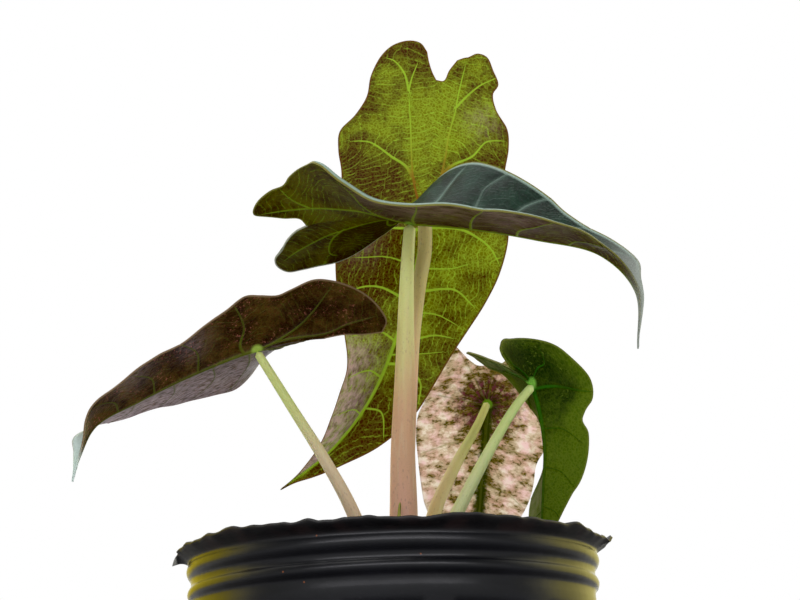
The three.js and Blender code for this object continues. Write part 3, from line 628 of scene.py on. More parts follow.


# Colours of the undersides. "tone" darkens the leaf about a flat point, and the sheen spots lay a
# painted grey sheen there, a painted reflection at grazing angles; both as x, y, reach and amount.

UNDERSIDE = {"near_y": 100.0, "near": 26.0, "ladder": 2.6, "net_size": 1.4, "rim": 0.0, "specks": 0.0}
UNDERSIDES = {
    "blade_back": {
        "light": "868812", "dark": "4e2002", "vein": "b4da3e", "net": "a4b830", "near_vein": "a86420",
        "near_y": 1.0, "margins": ("8a5c26", "8a5c26"), "near": 62.0, "patches": 2.0, "grain": 0.45,
        "main_show": 0.85, "spot": "a8d048", "glow": 0.7, "ladder_show": 0.85, "net_show": 0.8,
        "net_size": 1.35, "painted_sheen_colour": "e6c0c2", "painted_sheen_draw": (0.5, 0.25), "gleam": 0.25,
        "tone": [(0, -46, 15, -0.55), (-13, -79, 9, 0.3), (20, -74, 7, 0.15), (-24, -16, 15, 0.55),
                 (-20, 22, 16, 0.7), (14, 20, 14, -0.05), (8, 90, 26, 0.38), (-26, 50, 8, -0.3),
                 (27, 8, 8, -0.3), (-31, -55, 7, 0.3), (-26, -42, 8, -0.2), (30, -36, 8, 0.25)],
        "painted_sheen": [(-18, 64, 11, 0.9), (-13, 82, 10, 0.9), (-8, 98, 9, 0.9), (-3, 112, 9, 0.9),
                  (20, -48, 7, 0.2), (-24, 14, 8, 0.15)]},
    "blade_top": {
        "light": "6c5e10", "dark": "3a1a06", "vein": "86a01e", "net": "62640c", "near_vein": "86a01e",
        "near_y": 1.0, "margins": ("d8dac8", "8f8c40"), "patches": 2.3, "grain": 0.8,
        "main_show": 0.75, "spot": "86a83a", "glow": 0.3, "ladder_show": 0.75, "net_show": 0.7,
        "painted_sheen_colour": "a4867c", "painted_sheen_draw": (0.3, 0.12), "gleam": 0.12,
        "tone": [(18, 30, 40, 0.35), (-18, -18, 13, 0.45), (1, -36, 12, -0.4), (24, -30, 9, -0.35)],
        "painted_sheen": [(30, 40, 24, 0.65), (26, 4, 18, 0.65)]},
    "blade_left": {
        "light": "60401c", "dark": "260c08", "vein": "5e6a20", "net": "54501a", "near_vein": "6c7c22",
        "margins": ("9a8060", "a08c88"), "patches": 2.2, "grain": 1.2, "speck": "b46c5c",
        "main_show": 0.6, "spot": "a3bf4c", "glow": 0.16, "ladder": 2.8, "ladder_show": 0.4,
        "net_show": 0.5, "painted_sheen_colour": "c2aeb6", "painted_sheen_draw": (1.2, 0.3), "gleam": 0.2, "specks": 0.85,
        "tone": [(-12, -25, 16, 0.3), (-20, -34, 9, -0.3), (-14, 30, 12, 0.2)],
        "painted_sheen": [(18, 8, 20, 0.9), (12, 40, 20, 0.95), (8, 62, 12, 0.95), (-18, 50, 10, 0.3),
                  (-14, 24, 7, 0.25)]},
    "blade_right": {
        "light": "586e0a", "dark": "1c2e06", "vein": "34600e", "net": "7a8c28", "near_vein": "2f7a14",
        "margins": ("a8a468", "7c8830"), "patches": 0.7, "grain": 0.25, "speck": "7c8e30",
        "main_show": 0.6, "spot": "8ccf50", "glow": 0.28, "ladder": 2.2, "ladder_show": 0.3,
        "net_show": 0.35, "net_size": 1.1, "painted_sheen_colour": "9c9c78", "painted_sheen_draw": (0.4, 0.15),
        "gleam": 0.07, "rim": 0.5, "specks": 0.55,
        "tone": [(12, -14, 22, 0.6), (14, 36, 18, -0.6), (-10, 34, 16, -0.9)],
        "painted_sheen": [(-10, -16, 12, 0.7), (-10, 40, 18, 0.75)]},
}

UPPER_SIDES = {
    "blade_back": {"light": "27461f", "dark": "122614", "vein": "8fa98c", "margin": "8ea78a",
                   "glow": 0.5, "glow_colour": (0.98, 1.0, 0.78, 1)},
    "blade_top": {"light": "284636", "dark": "0e2018", "vein": "7a9284", "margin": "a4bcac",
                  "glow": 0.16, "glow_colour": (0.4, 0.56, 0.3, 1)},
    "blade_left": {"light": "24402e", "dark": "12241a", "vein": "7d9688", "margin": "c0dccc",
                   "glow": 0.3, "glow_colour": (0.5, 0.6, 0.3, 1)},
    "blade_right": {"light": "2a4c1e", "dark": "16300e", "vein": "7f9d74", "margin": "87a07c",
                    "glow": 0.4, "glow_colour": (0.5, 0.7, 0.25, 1)},
}
EDGE_OLIVE = "8a843a"
SMALL_GLOW = 0.7

# The dried tips: their colour, and how far they reach from below and from above

TIP_PALE = {"blade_top": ("b4bab0", 34, 52), "blade_left": ("e0f0e8", 14, 26)}


def underside(name, look):
    """Dark cells in a paler net, brighter veins, a thin margin and a bright spot at the stalk"""
    shade = LeafShade(name + "_underside", look["ladder"], look["net_size"])
    flat, x, y = shade.flat, shade.x, shade.y
    tone, painted_sheen, _ = shade.split(shade.read("tone"))
    patches, grain = look["patches"], look["grain"]
    mottle = shade.plus(tone, shade.noise(flat, 0.085, 4.0, 0.6), patches)
    mottle = shade.plus(mottle, shade.noise(flat, 1.6, 3.0, 0.7), grain)
    mottle = shade.plus(mottle, 1.13 - 0.5 * (patches + grain))
    mottle = shade.plus(mottle, shade.cell, 0.2)
    mottle = shade.plus(mottle, shade.ease(shade.edge, 8.0, 1.0), -look["rim"])
    dark = shade.ease(mottle, 0.75, 1.65)
    shade.colour = shade.mix(dark, look["light"], look["dark"])
    thread = shade.mix(shade.times(dark, 0.82), look["net"], look["dark"])
    shade.paint(shade.times(shade.net, look["net_show"]), thread)
    shown = shade.plus(look["ladder_show"], dark, -0.45 * look["ladder_show"])
    shade.paint(shade.times(shade.ladder, shown), look["vein"])
    if look["specks"]:
        speck = shade.times(shade.ease(shade.noise(flat, 0.95, 3.0, 0.75), 0.55, 0.66),
                            shade.ease(shade.noise(flat, 0.1, 2.0), 0.44, 0.62), look["specks"])
        shade.paint(speck, look["speck"])
    # Painted sheen: grey streaks over the sheen spots, a painted reflection of the bright studio at grazing
    # angles
    streaks = shade.noise(shade.stretch(flat, *look["painted_sheen_draw"], 1.0), 1.0, 4.0, 0.6)
    shade.paint(shade.times(painted_sheen, shade.ease(streaks, 0.25, 0.7)), look["painted_sheen_colour"])
    near_y = look["near_y"]
    close = shade.times(shade.ease(shade.joint, look["near"], 8.0), shade.ease(y, near_y, near_y - 4.0),
                        shade.ease(shade.math("ABSOLUTE", x), 12.0, 6.0))
    vein = shade.mix(close, look["vein"], look["near_vein"])
    shade.paint(shade.times(shade.main, look["main_show"]), vein)
    rim = shade.mix(shade.ease(x, -0.1, 0.1), *look["margins"])
    shade.paint(shade.times(shade.ease(shade.edge, 0.7, 0.25), 0.8), rim)
    shade.paint(shade.ease(shade.joint, 3.0, 1.4), look["spot"])
    shade.pale_tip(name, 0)
    return shade.finish_leaf(look["glow"], shade.colour, 0.42, 0.00018, look["gleam"])


def upper_side(name, look):
    """Dark green with silvery main veins and a pale margin"""
    shade = LeafShade(name + "_upper", 2.4, 1.6)
    flat = shade.flat
    mottle = shade.plus(shade.noise(flat, 0.1, 3.0), shade.noise(flat, 1.1, 3.0), 0.5)
    mottle = shade.plus(mottle, shade.cell, 0.15)
    shade.colour = shade.mix(shade.ease(mottle, 0.65, 1.05), look["dark"], look["light"])
    shade.paint(shade.times(shade.net, 0.25), look["dark"])
    shade.paint(shade.times(shade.ladder, 0.15), look["vein"])
    faint = shade.ease(shade.noise(flat, 0.06, 1.0), 0.35, 0.6)
    for mask, least, more in ((shade.halo, 0.15, 0.25), (shade.main, 0.3, 0.4)):
        shade.paint(shade.times(mask, shade.plus(least, faint, more)), look["vein"])
    shade.paint(shade.ease(shade.edge, 2.2, 0.9), look["margin"])
    shade.paint(shade.ease(shade.edge, 0.75, 0.4), EDGE_OLIVE)
    shade.pale_tip(name, 1)
    return shade.finish_leaf(look["glow"], look["glow_colour"], 0.4, 0.0002, 0.2)


def variegated(name):
    """Pinkish white with olive mottling drawn out along the side veins, and streaks round the stalk"""
    shade = LeafShade(name, 2.0, 1.3)
    flat, x, y, joint = shade.flat, shade.x, shade.y, shade.joint
    away = shade.math("ABSOLUTE", x)
    drawn = shade.join(shade.times(x, 0.6), shade.plus(y, away, -0.12))
    flecks = shade.noise(drawn, 1.2, 4.0, 0.72)
    amount = shade.noise(drawn, 0.26, 5.0, 0.66)
    for mask, more in ((shade.ease(away, 16.0, 0.5), 0.07), (shade.ease(joint, 18.0, 5.0), 0.11),
                       (flecks, 0.3)):
        amount = shade.plus(amount, mask, more)
    pale = shade.mix(shade.ease(shade.noise(flat, 0.22, 2.0), 0.4, 0.62), "fff8ec", "ffe9e6")
    olive = shade.mix(shade.ease(flecks, 0.38, 0.62), "b09c50", "66620f")
    shade.colour = shade.mix(shade.ease(amount, 0.54, 0.7), pale, shade.mix(0.5, pale, "bc9c60"))
    shade.paint(shade.ease(amount, 0.68, 0.79), olive)
    angle = shade.times(shade.math("ARCTAN2", y, x), 5.0)
    rays = shade.noise(shade.join(angle, shade.times(joint, 0.16)), 1.1, 4.0, 0.62)
    reach = shade.plus(joint, shade.noise(flat, 0.3, 4.0, 0.7), 26.0)
    tint = shade.mix(shade.ease(shade.noise(flat, 0.5, 2.0), 0.42, 0.58), "944a62", "5e4c14")
    shade.paint(shade.times(shade.ease(rays, 0.44, 0.54), shade.ease(reach, 29.0, 21.0), 0.9), tint)
    shade.paint(shade.times(shade.ease(joint, 6.5, 2.6), shade.ease(rays, 0.66, 0.4)), "3e3404")
    band = shade.plus(away, shade.noise(flat, 0.7, 4.0, 0.7), 5.0)
    shade.paint(shade.times(shade.ease(band, 5.4, 3.4), shade.ease(y, -1.0, 3.0)), "56640a")
    shade.paint(shade.times(shade.main, 0.35), "a4a548")
    shade.paint(shade.ease(joint, 2.4, 1.6), "93b93a")
    return shade.finish_leaf(SMALL_GLOW, shade.colour, 0.45, 0.0002, 0.3)


# Blades

class LeafForm:
    """A leaf's bent spine and folded halves, and where they carry its flat outline"""

    def __init__(self, leaf):
        self.spine = dense_curve(leaf["spine"])
        steps = np.arange(len(self.spine)) / SPINE_STEPS
        self.joint = leaf["attach"] * SPINE_STEPS
        self.y = run_length(self.spine)
        self.y -= self.y[self.joint]
        self.along = unit(np.gradient(self.spine, axis=0))
        up = smooth_list(leaf["facing"], steps)
        self.up = unit(up - np.sum(up * self.along, -1, keepdims=True) * self.along)
        self.side = np.cross(self.along, self.up)
        self.fold = np.radians(smooth_list(leaf["fold"], steps))

    def at(self, table, y):
        return columns_at(y, self.y, table)

    def bend(self, side, x, y):
        """Flat points of one half, carried to their bent places"""
        past = y - np.clip(y, self.y[0], self.y[-1])
        place = self.at(self.spine, y) + self.at(self.along, y) * past[..., None]
        fold = np.interp(y, self.y, self.fold[:, 0 if side < 0 else 1])[..., None]
        reach = np.abs(x)[..., None]
        place = place + side * reach * np.cos(fold) * unit(self.at(self.side, y))
        return place + reach * np.sin(fold) * unit(self.at(self.up, y))

    def outward(self, side, x, y):
        reach = np.maximum(np.abs(x), PROBE)
        return unit(self.bend(side, reach + PROBE, y) - self.bend(side, reach - PROBE, y))

    def upward(self, side, x, y):
        reach = np.maximum(np.abs(x), PROBE)
        along = self.bend(side, reach, y + PROBE) - self.bend(side, reach, y - PROBE)
        return unit(np.cross(side * self.outward(side, x, y), along))


def line_field(points, line):
    """Distance from points to a flat line, its sign by the side, and the length run along the line"""
    run = run_length(line)
    gap = points[:, None, :] - line[None]
    nearest = np.argmin(np.sum(gap ** 2, -1), 1)
    found = gap[np.arange(len(points)), nearest]
    way = unit(np.gradient(line, axis=0))[nearest]
    cross = way[:, 0] * found[:, 1] - way[:, 1] * found[:, 0]
    ahead = np.sum(way * found, -1)
    beyond = np.where((nearest == len(line) - 1) | (nearest == 0), np.abs(ahead), 0)
    return np.where(cross < 0, -1, 1) * np.hypot(cross, beyond), run[nearest] + ahead


def rib_lines(half, midrib):
    """The main veins of a half as dense lines: half-width, line and the run at its start"""
    heights = np.linspace(0, half["margin"][-1][1], MIDRIB_STEPS)
    lines = [(midrib, np.stack([0 * heights, heights], -1), 0.0)]
    for wide, route in half["ribs"]:
        begin = 0.0
        for _, older, start in lines[1:]:
            gap = np.linalg.norm(older - np.array(route[0], float), axis=1)
            if gap.min() < JOIN_REACH:
                begin = start + run_length(older)[gap.argmin()]
        lines.append((wide, dense_curve(route, RIB_STEPS), begin))
    return lines


def half_fields(lines, points):
    """Signed distances to the main veins in half-widths, the plain distance to the nearest, and the
    coordinate that the ladder veins between them follow"""
    signed = np.full((len(points), RIB_SLOTS), RIB_FAR)
    least = np.full(len(points), 1e3)
    total, weights = np.zeros(len(points)), np.zeros(len(points))
    for k, (wide, line, begin) in enumerate(lines):
        distance, length = line_field(points, line)
        share = np.clip(length / run_length(line)[-1], 0, 1)
        taper = wide * (1 - RIB_TAPER * share) * ease(share, *RIB_FADE)
        signed[:, k] = np.clip(distance / np.maximum(taper, LEAST_RIB), -RIB_FAR, RIB_FAR)
        least = np.minimum(least, np.abs(distance))
        if k:
            weight = 1 / (np.abs(distance) + LADDER_SOFT) ** LADDER_PULL
            total += weight * (length + begin)
            weights += weight
    return signed, least, total / weights


def half_grid(half):
    """Rows of flat points over a half, from the lobe's tip to the leaf's tip, close at both edges"""
    outer = at_fractions(dense_curve(half["margin"]), np.linspace(0, 1, ROWS + 1))
    sinus = at_fractions(dense_curve(half["sinus"][::-1]), np.linspace(0, 1, SINUS_ROWS + 1))
    heights = np.linspace(half["sinus"][0][1], half["margin"][-1][1], ROWS - SINUS_ROWS + 1)[1:]
    inner = np.vstack([sinus, np.stack([0 * heights, heights], -1)])
    even = np.linspace(0, 1, COLUMNS + 1)
    share = EVEN_COLUMNS * even + (1 - EVEN_COLUMNS) * (1 - np.cos(np.pi * even)) / 2
    share = share[None, :, None]
    return inner[:, None] * (1 - share) + outer[:, None] * share


def roll_margin(place, up, out, flat, degrees):
    """Curls the last stretch of each row over towards the underside"""
    angles = np.radians(np.maximum(smooth_list(degrees, np.linspace(0, len(degrees) - 1, ROWS + 1)), 0))
    for i, angle in enumerate(angles):
        left = np.linalg.norm(flat[i, -1] - flat[i], axis=-1)
        length = min(ROLL_RADIUS * angle, MOST_ROLL * left[0])
        if length < LEAST_ROLL:
            continue
        crest = [np.interp(length, left[::-1], place[i, ::-1, k]) for k in range(3)]
        j = int(np.argmax(left <= length))
        turn = ((length - left[j:]) / ROLL_RADIUS)[:, None]
        o, n = out[i, j].copy(), up[i, j].copy()
        place[i, j:] = crest + ROLL_RADIUS * (np.sin(turn) * o - (1 - np.cos(turn)) * n)
        up[i, j:] = np.cos(turn) * n + np.sin(turn) * o


def spot_marks(x, y, side, spots):
    """The soft round spots of one half, added up"""
    return sum(amount * np.exp(-((x - sx) ** 2 + (y - sy) ** 2) / size ** 2)
               for sx, sy, size, amount in spots if sx * side >= 0) + 0 * x


def half_sheet(form, half, side, midrib, seed, spots):
    """The upper and under points of a half, the middle of its edge, and what its shaders read"""
    flat = half_grid(half)
    x, y = flat[..., 0], flat[..., 1]
    points = flat.reshape(-1, 2)
    lines = rib_lines(half, midrib)
    signed, near, run = half_fields(lines, points)
    slope = [(half_fields(lines, points + step)[2] - run) / FIELD_STEP
             for step in ((FIELD_STEP, 0), (0, FIELD_STEP))]
    border = np.vstack([dense_curve(half["sinus"], 10), dense_curve(half["margin"], 20)])
    edge = np.abs(line_field(points, border)[0])
    place, up, out = (bent(side, x, y) for bent in (form.bend, form.upward, form.outward))
    # The two halves share one upward direction along the midrib, longer where they meet at an angle
    spine_y = y[SINUS_ROWS:, 0]
    other = form.upward(-side, 0 * spine_y, spine_y)
    lean = 1 + np.sum(up[SINUS_ROWS:, 0] * other, -1, keepdims=True)
    up[SINUS_ROWS:, 0] = (up[SINUS_ROWS:, 0] + other) / lean
    calm = ease(edge.reshape(x.shape), 0, CALM_EDGE)
    quilt = QUILT * (1 - np.exp(-(near.reshape(x.shape) / QUILT_REACH) ** 2)) * calm
    wave = WAVE * value_noise(x + 90, y + 200, WAVE_SIZE, seed) * ease(np.abs(x), *WAVE_REACH)
    place += (quilt + wave)[..., None] * up
    roll_margin(place, up, out, flat, half.get("roll", NO_ROLL))
    ridge = np.exp(-(signed / RIDGE_SPREAD) ** 2).max(1).reshape(x.shape)
    raised = ridge * (VEIN_RISE + JOINT_RISE * ease(np.hypot(x, y), JOINT_REACH, 0))
    upper = place + (BLADE_THICKNESS / 2 - VEIN_SINK * ridge)[..., None] * up
    under = place - (BLADE_THICKNESS / 2 + raised)[..., None] * up
    # The second group of spots is painted sheen, kept as the second value of the "tone" attribute
    tone, painted_sheen = (spot_marks(x, y, side, group).ravel() for group in spots)
    slope = np.clip(np.hypot(*slope), *SLOPE_RANGE)
    values = {"flat": np.pad(points, ((0, 0), (0, 1))), "weave": np.stack([run, slope, edge], -1),
              "tone": np.stack([tone, painted_sheen, 0 * tone], -1)}
    for k, part in enumerate(RIB_PARTS):
        values["ribs_" + part] = signed[:, 3 * k:3 * k + 3]
    return upper, under, place[:, -1] + EDGE_BULGE * out[:, -1], values


def blade(name, under, upper, tones, painted_sheens):
    """A leaf blade as a closed thin sheet, with its veins raised below and sunk above"""
    leaf = LEAVES[name]
    form = LeafForm(leaf)
    halves = [half_sheet(form, leaf[key], side, MIDRIBS[name], WAVE_SEED + h, (tones, painted_sheens))
              for h, (key, side) in enumerate((("left", -1), ("right", 1)))]
    tops, bottoms, edges, values = zip(*halves)
    points = np.concatenate([part.reshape(-1, 3) for part in (*tops, *bottoms, *edges)])
    grid = np.arange(2 * tops[0][..., 0].size).reshape(2, ROWS + 1, COLUMNS + 1)
    # The points that the mesh uses: the right half takes the left half's midrib, and a row at either
    # tip is one point
    shared = grid.copy()
    shared[1, SINUS_ROWS:, 0] = shared[0, SINUS_ROWS:, 0]
    shared[:, 0] = shared[:, 0, :1]
    shared[:, -1] = shared[:, -1, :1]
    below = shared + grid.size
    middles = 2 * grid.size + np.arange(2 * (ROWS + 1)).reshape(2, ROWS + 1)
    raw_faces, faces, sides = [], [], []

    def add(raw, joined, flip, side):
        """Two triangles for each quad of a grid: raw indexes the shaders' values, joined the points"""
        for pick in ((0, 1, 2), (0, 2, 3)):
            for table, found in ((raw, raw_faces), (joined, faces)):
                quad = table[:-1, :-1], table[:-1, 1:], table[1:, 1:], table[1:, :-1]
                found.append(np.stack([quad[k].ravel() for k in (pick[::-1] if flip else pick)], -1))
            sides.append(np.full(len(faces[-1]), side))

    for h in range(2):
        left = h == 0
        add(grid[h], shared[h], left, 1)
        add(grid[h], below[h], not left, 0)
        rim = np.stack([below[h, :, -1], middles[h], shared[h, :, -1]])
        add(np.stack([grid[h, :, -1]] * 3), rim, not left, 0)
        notch = np.stack([below[h, :SINUS_ROWS + 1, 0], shared[h, :SINUS_ROWS + 1, 0]])
        add(np.stack([grid[h, :SINUS_ROWS + 1, 0]] * 2), notch, left, 0)
    raw_faces, faces, sides = (np.concatenate(parts) for parts in (raw_faces, faces, sides))
    whole = np.all(faces != np.roll(faces, 1, axis=1), axis=1)
    piece = make_piece(name, points, faces[whole], [under, upper], sides[whole])
    joined = {key: np.concatenate([half[key] for half in values]) for key in values[0]}
    corner_vectors(piece, raw_faces[whole].ravel(), **joined)


# Stalks

def tube(route, across, deep, steps, sides, ridges, dome):
    """A tube along a route, with faint ridges and a rounded end: its points and triangles, how far
    along it each point is, the turn round it and the tube's length"""
    line = dense_curve(route)
    fractions = np.linspace(0, 1, steps + 1)
    middle = at_fractions(line, fractions)
    along = unit(np.gradient(middle, axis=0))
    side = unit(np.array([1.0, 0, 0]) - along * along[:, :1])
    length = run_length(line)[-1]
    close = np.clip((1 - fractions) * length / dome, 0, 1)
    end = DOME_END + (1 - DOME_END) * np.sqrt(np.clip(1 - (1 - close) ** 2, 0, 1))
    turn = np.linspace(0, TURN, sides, endpoint=False)
    swell = 1 + ridges * (0.5 * np.cos(5 * turn + 0.8) + 0.3 * np.cos(8 * turn + 2.0))
    points = middle[:, None]
    for radii, wave, axis in ((across, np.cos(turn), side), (deep, np.sin(turn), np.cross(along, side))):
        radius = smooth_list(radii, fractions * (len(radii) - 1)) * end
        points = points + (radius[:, None] * wave * swell)[..., None] * axis[:, None]
    every = np.vstack([points.reshape(-1, 3), middle[0], middle[-1]])
    reach = np.append(np.repeat(fractions, sides), [0, 1])
    around = np.append(np.tile(turn, steps + 1), [0, 0])
    return every, ring_triangles(steps + 1, sides), reach, around, length


def skin_values(reach, around, length, width, mark):
    """What the stalks' shaders read: the place on the skin, how far up it is, and a mark, which on the
    shoot is the painted shade in its slit
    """
    return {"skin": np.stack([np.cos(around) * width, np.sin(around) * width, reach * length], -1),
            "rise": np.stack([reach, mark, 0 * reach], -1)}


def landed(route, leaf, radius):
    """The route with its end moved to the underside of the blade that it carries"""
    form = LeafForm(LEAVES[leaf])
    up = form.up[form.joint]
    points = np.array(route, float)
    axis = unit(points[-1] - points[-2])
    points[-1] -= up * (BLADE_THICKNESS + radius * math.sqrt(1 - float(axis @ up) ** 2))
    return points


def stalk(name, material):
    route, across, deep = STALKS[name]
    route = landed(route, name.replace("petiole", "blade"), across[-1])
    points, triangles, reach, around, length = tube(
        route, across, deep, STALK_STEPS, STALK_SIDES, STALK_RIDGES, STALK_DOME)
    piece = make_piece(name, points, triangles, [material])
    width = np.interp(reach, np.linspace(0, 1, len(across)), across)
    corner_vectors(piece, triangles.ravel(), **skin_values(reach, around, length, width, 0 * reach))


def stalk_material(name, low, middle, high, speck, amount):
    """Waxy stalk: colours from foot to top, long streaks and short dark dashes"""
    shade = Shade(bpy.data.materials.new(name))
    skin = shade.read("skin")
    long = shade.stretch(skin, 1.0, 1.0, 0.06)
    streaks = shade.noise(long, 0.9, 3.0)
    rise = shade.split(shade.read("rise"))[0]
    drift = shade.plus(rise, shade.noise(long, 0.35, 2.0), 0.3)
    shade.colour = shade.mix(shade.ease(drift, 0.3, 0.62), low, middle)
    shade.paint(shade.ease(drift, 0.62, 1.0), high)
    lighter = shade.mix(0.5, shade.colour, "e3dcae")
    shade.paint(shade.times(shade.ease(streaks, 0.5, 0.72), 0.5), lighter)
    dashes = shade.cells(shade.stretch(skin, 1.0, 1.0, 0.45), 0.9)["Distance"]
    patchy = shade.ease(shade.noise(skin, 0.12, 2.0), 0.4, 0.6)
    shade.paint(shade.times(shade.ease(dashes, 0.34, 0.12), patchy, amount), speck)
    fine = shade.noise(skin, 2.4, 3.0)
    shade.paint(shade.times(shade.ease(fine, 0.55, 0.75), 0.25), speck)
    surface = shade.surface(0.45, shade.plus(streaks, fine, 0.3), 0.0003)
    surface.subsurface_method = "RANDOM_WALK"
    surface.inputs["Subsurface Weight"].default_value = 0.25
    surface.inputs["Subsurface Radius"].default_value = (1.0, 0.6, 0.3)
    surface.inputs["Subsurface Scale"].default_value = 0.0015
    return shade.finish(surface)


def shoot_piece():
    """A young leaf still rolled to a spike, with the slit of its sheath and painted shade inside the slit
    """
    points, triangles, reach, around, length = tube(
        SHOOT_ROUTE, SHOOT_RADII, SHOOT_RADII, SHOOT_STEPS, SHOOT_SIDES, SHOOT_RIDGES, SHOOT_DOME)
    slit = np.exp(-((around - SLIT_TURN) / SLIT_WIDTH) ** 2) * ease(reach, 0.55, 0.9)
    middle = at_fractions(dense_curve(SHOOT_ROUTE), reach)
    points = middle + (points - middle) * (1 - SLIT_DEPTH * slit)[:, None]
    shade = Shade(bpy.data.materials.new("shoot_fine"))
    lines = shade.noise(shade.stretch(shade.read("skin"), 1.0, 1.0, 0.08), 1.5, 3.0)
    shade.colour = shade.mix(shade.ease(lines, 0.4, 0.6), "8c8f26", "c3bf4a")
    # The slit is painted dark: painted shade inside its groove
    painted_slit_shade = shade.split(shade.read("rise"))[1]
    shade.paint(shade.ease(painted_slit_shade, 0.3, 0.8), "3c3413")
    material = shade.finish(shade.surface(0.45, lines, 0.0003))
    piece = make_piece("new_shoot", points, triangles, [material])
    corner_vectors(piece, triangles.ravel(), **skin_values(reach, around, length, SHOOT_SKIN, slit))


# Pot

def crinkle(turn):
    return 0.45 * np.sin(5 * turn + 0.6) + 0.3 * np.sin(11 * turn + 2) + 0.25 * np.sin(17 * turn + 4.2)


def ragged(turn):
    """The finer crinkles and creases of the lip"""
    wave = 0.35 * np.sin(29 * turn + 1) + 0.3 * np.sin(43 * turn + 2.6) + 0.2 * np.sin(67 * turn)
    crease = 0.7 * (np.abs(np.sin(23.5 * turn + 0.4)) ** 0.6 - 0.7)
    return wave * (0.6 + 0.4 * np.sin(3 * turn + 1.1)) + crease * (0.5 + 0.5 * np.sin(7 * turn + 2))


def pot_rings():
    """The pot's profile outside, going up, and inside, going down. A ring is its radius and height,
    and how far it follows the lip's crinkles and the wall's panels."""
    top, t = POT_HEIGHT, POT_TOP_RADIUS
    taper = (t - POT_BASE_RADIUS) / POT_BAND_HEIGHT

    def wall(z, panel=0, inset=0):
        return POT_BASE_RADIUS + min(z, POT_BAND_HEIGHT) * taper - inset, z, 0, panel

    outer = [(POT_BASE_RADIUS - 2, 0, 0, 0), (POT_BASE_RADIUS - 0.9, 0.5, 0, 0), wall(2), wall(8)]
    outer += [wall(z, 1) for z in (10, 30, 60, 85, 106, 108)] + [wall(110), wall(112.5)]
    band = [(0, -23), (-0.2, -19.8), (0.1, -18.7), (RIB_HEIGHT * 0.7, -17.6), (RIB_HEIGHT, -16.2),
            (RIB_HEIGHT * 0.7, -14.7), (0.1, -13.5), (-0.1, -12.4), (0.15, -11), (RIB_HEIGHT * 0.8, -9.7),
            (RIB_HEIGHT * 1.2, -8), (RIB_HEIGHT, -6.4), (0.9, -5.2)]
    outer += [(t + out, top + z, 0, 0) for out, z in band] + [(t + 1.0, top - 4.3, 0.15, 0)]
    outer += [(t + LIP_REACH * share, top + z, lip, 0) for share, z, lip in
              ((0.4, -3.3, 0.35), (0.7, -2.2, 0.6), (0.92, -1.3, 0.85), (1, -0.6, 1))]
    inner = [(t + LIP_REACH * share, top + z, lip, 0) for share, z, lip in
             ((0.82, 0.3, 1), (0.6, -0.5, 0.8), (0.35, -1.7, 0.5), (0.05, -3.0, 0.25))]
    inner += [(t - 0.9, top - 4.4, 0.1, 0), (t - POT_WALL, top - 9, 0, 0)]
    inner += [wall(POT_BAND_HEIGHT, 0, POT_WALL)]
    inner += [wall(z, 0, POT_WALL + POT_PANEL_DEPTH) for z in (60, POT_FLOOR)]
    return outer, inner


def round_profile(levels, first, last, per):
    """Levels with the stretch between two indices made smooth"""
    rows = np.array(levels, float)
    return np.vstack([rows[:first], dense_curve(rows[first:last + 1], per), rows[last + 1:]])


def pot_piece(material):
    outer, inner = pot_rings()
    rows = np.vstack([round_profile(outer, 12, len(outer) - 1, 4), round_profile(inner, 0, 5, 3)])
    turn = np.linspace(0, TURN, POT_TURNS, endpoint=False)
    lift = LIP_CRINKLE * crinkle(turn)
    flare = LIP_SIDE_FLARE * np.abs(np.cos(turn)) ** 8
    share = (turn - np.radians(POT_PANEL_TURN)) / TURN * POT_PANELS % 1
    sunk = POT_PANEL_DEPTH * ease(np.abs(share - 0.5) * 2, POT_PANEL_SHARE + POT_PANEL_EASE,
                                  POT_PANEL_SHARE - POT_PANEL_EASE)
    reach_out, reach_up = RAGGED_OUT * ragged(turn + 1), RAGGED_UP * ragged(turn)
    for degrees, wide, out, up in LIP_TABS:
        gap = (np.degrees(turn) - degrees + 180) % 360 - 180
        bell = np.exp(-(gap / wide) ** 2)
        reach_out += out * bell
        reach_up += up * bell
    r, z, lip, panel = (rows[:, k][:, None] for k in range(4))
    dent = DENT * value_noise(POT_TOP_RADIUS * turn + 0 * r, z + 0 * turn, DENT_SIZE, DENT_SEED)
    radius = r - panel * sunk + lip * (lift * 0.8 + flare) + lip ** 3 * reach_out + dent * (1 - lip)
    height = z + lip * lift + lip ** 2 * reach_up
    points = np.stack([radius * np.cos(turn), radius * np.sin(turn), height], -1).reshape(-1, 3)
    points = np.vstack([points, (0, 0, 0), (0, 0, POT_FLOOR)])
    drill_holes(make_piece("pot", points, ring_triangles(len(rows), POT_TURNS), [material]))


def drill_holes(piece):
    """Cuts the drain holes through the pot's floor"""
    for i in range(DRAIN_COUNT):
        turn = (i + 0.5) / DRAIN_COUNT * TURN
        bpy.ops.mesh.primitive_cylinder_add(
            vertices=48, radius=DRAIN_RADIUS * MM, depth=10 * MM,
            location=(DRAIN_CIRCLE * math.cos(turn) * MM, DRAIN_CIRCLE * math.sin(turn) * MM, MM))
        drill = bpy.context.object
        cut = piece.modifiers.new("drill", "BOOLEAN")
        cut.operation = "DIFFERENCE"
        cut.object = drill
        cut.solver = "EXACT"
        bpy.context.view_layer.objects.active = piece
        bpy.ops.object.modifier_apply(modifier=cut.name)
        bpy.data.objects.remove(drill)


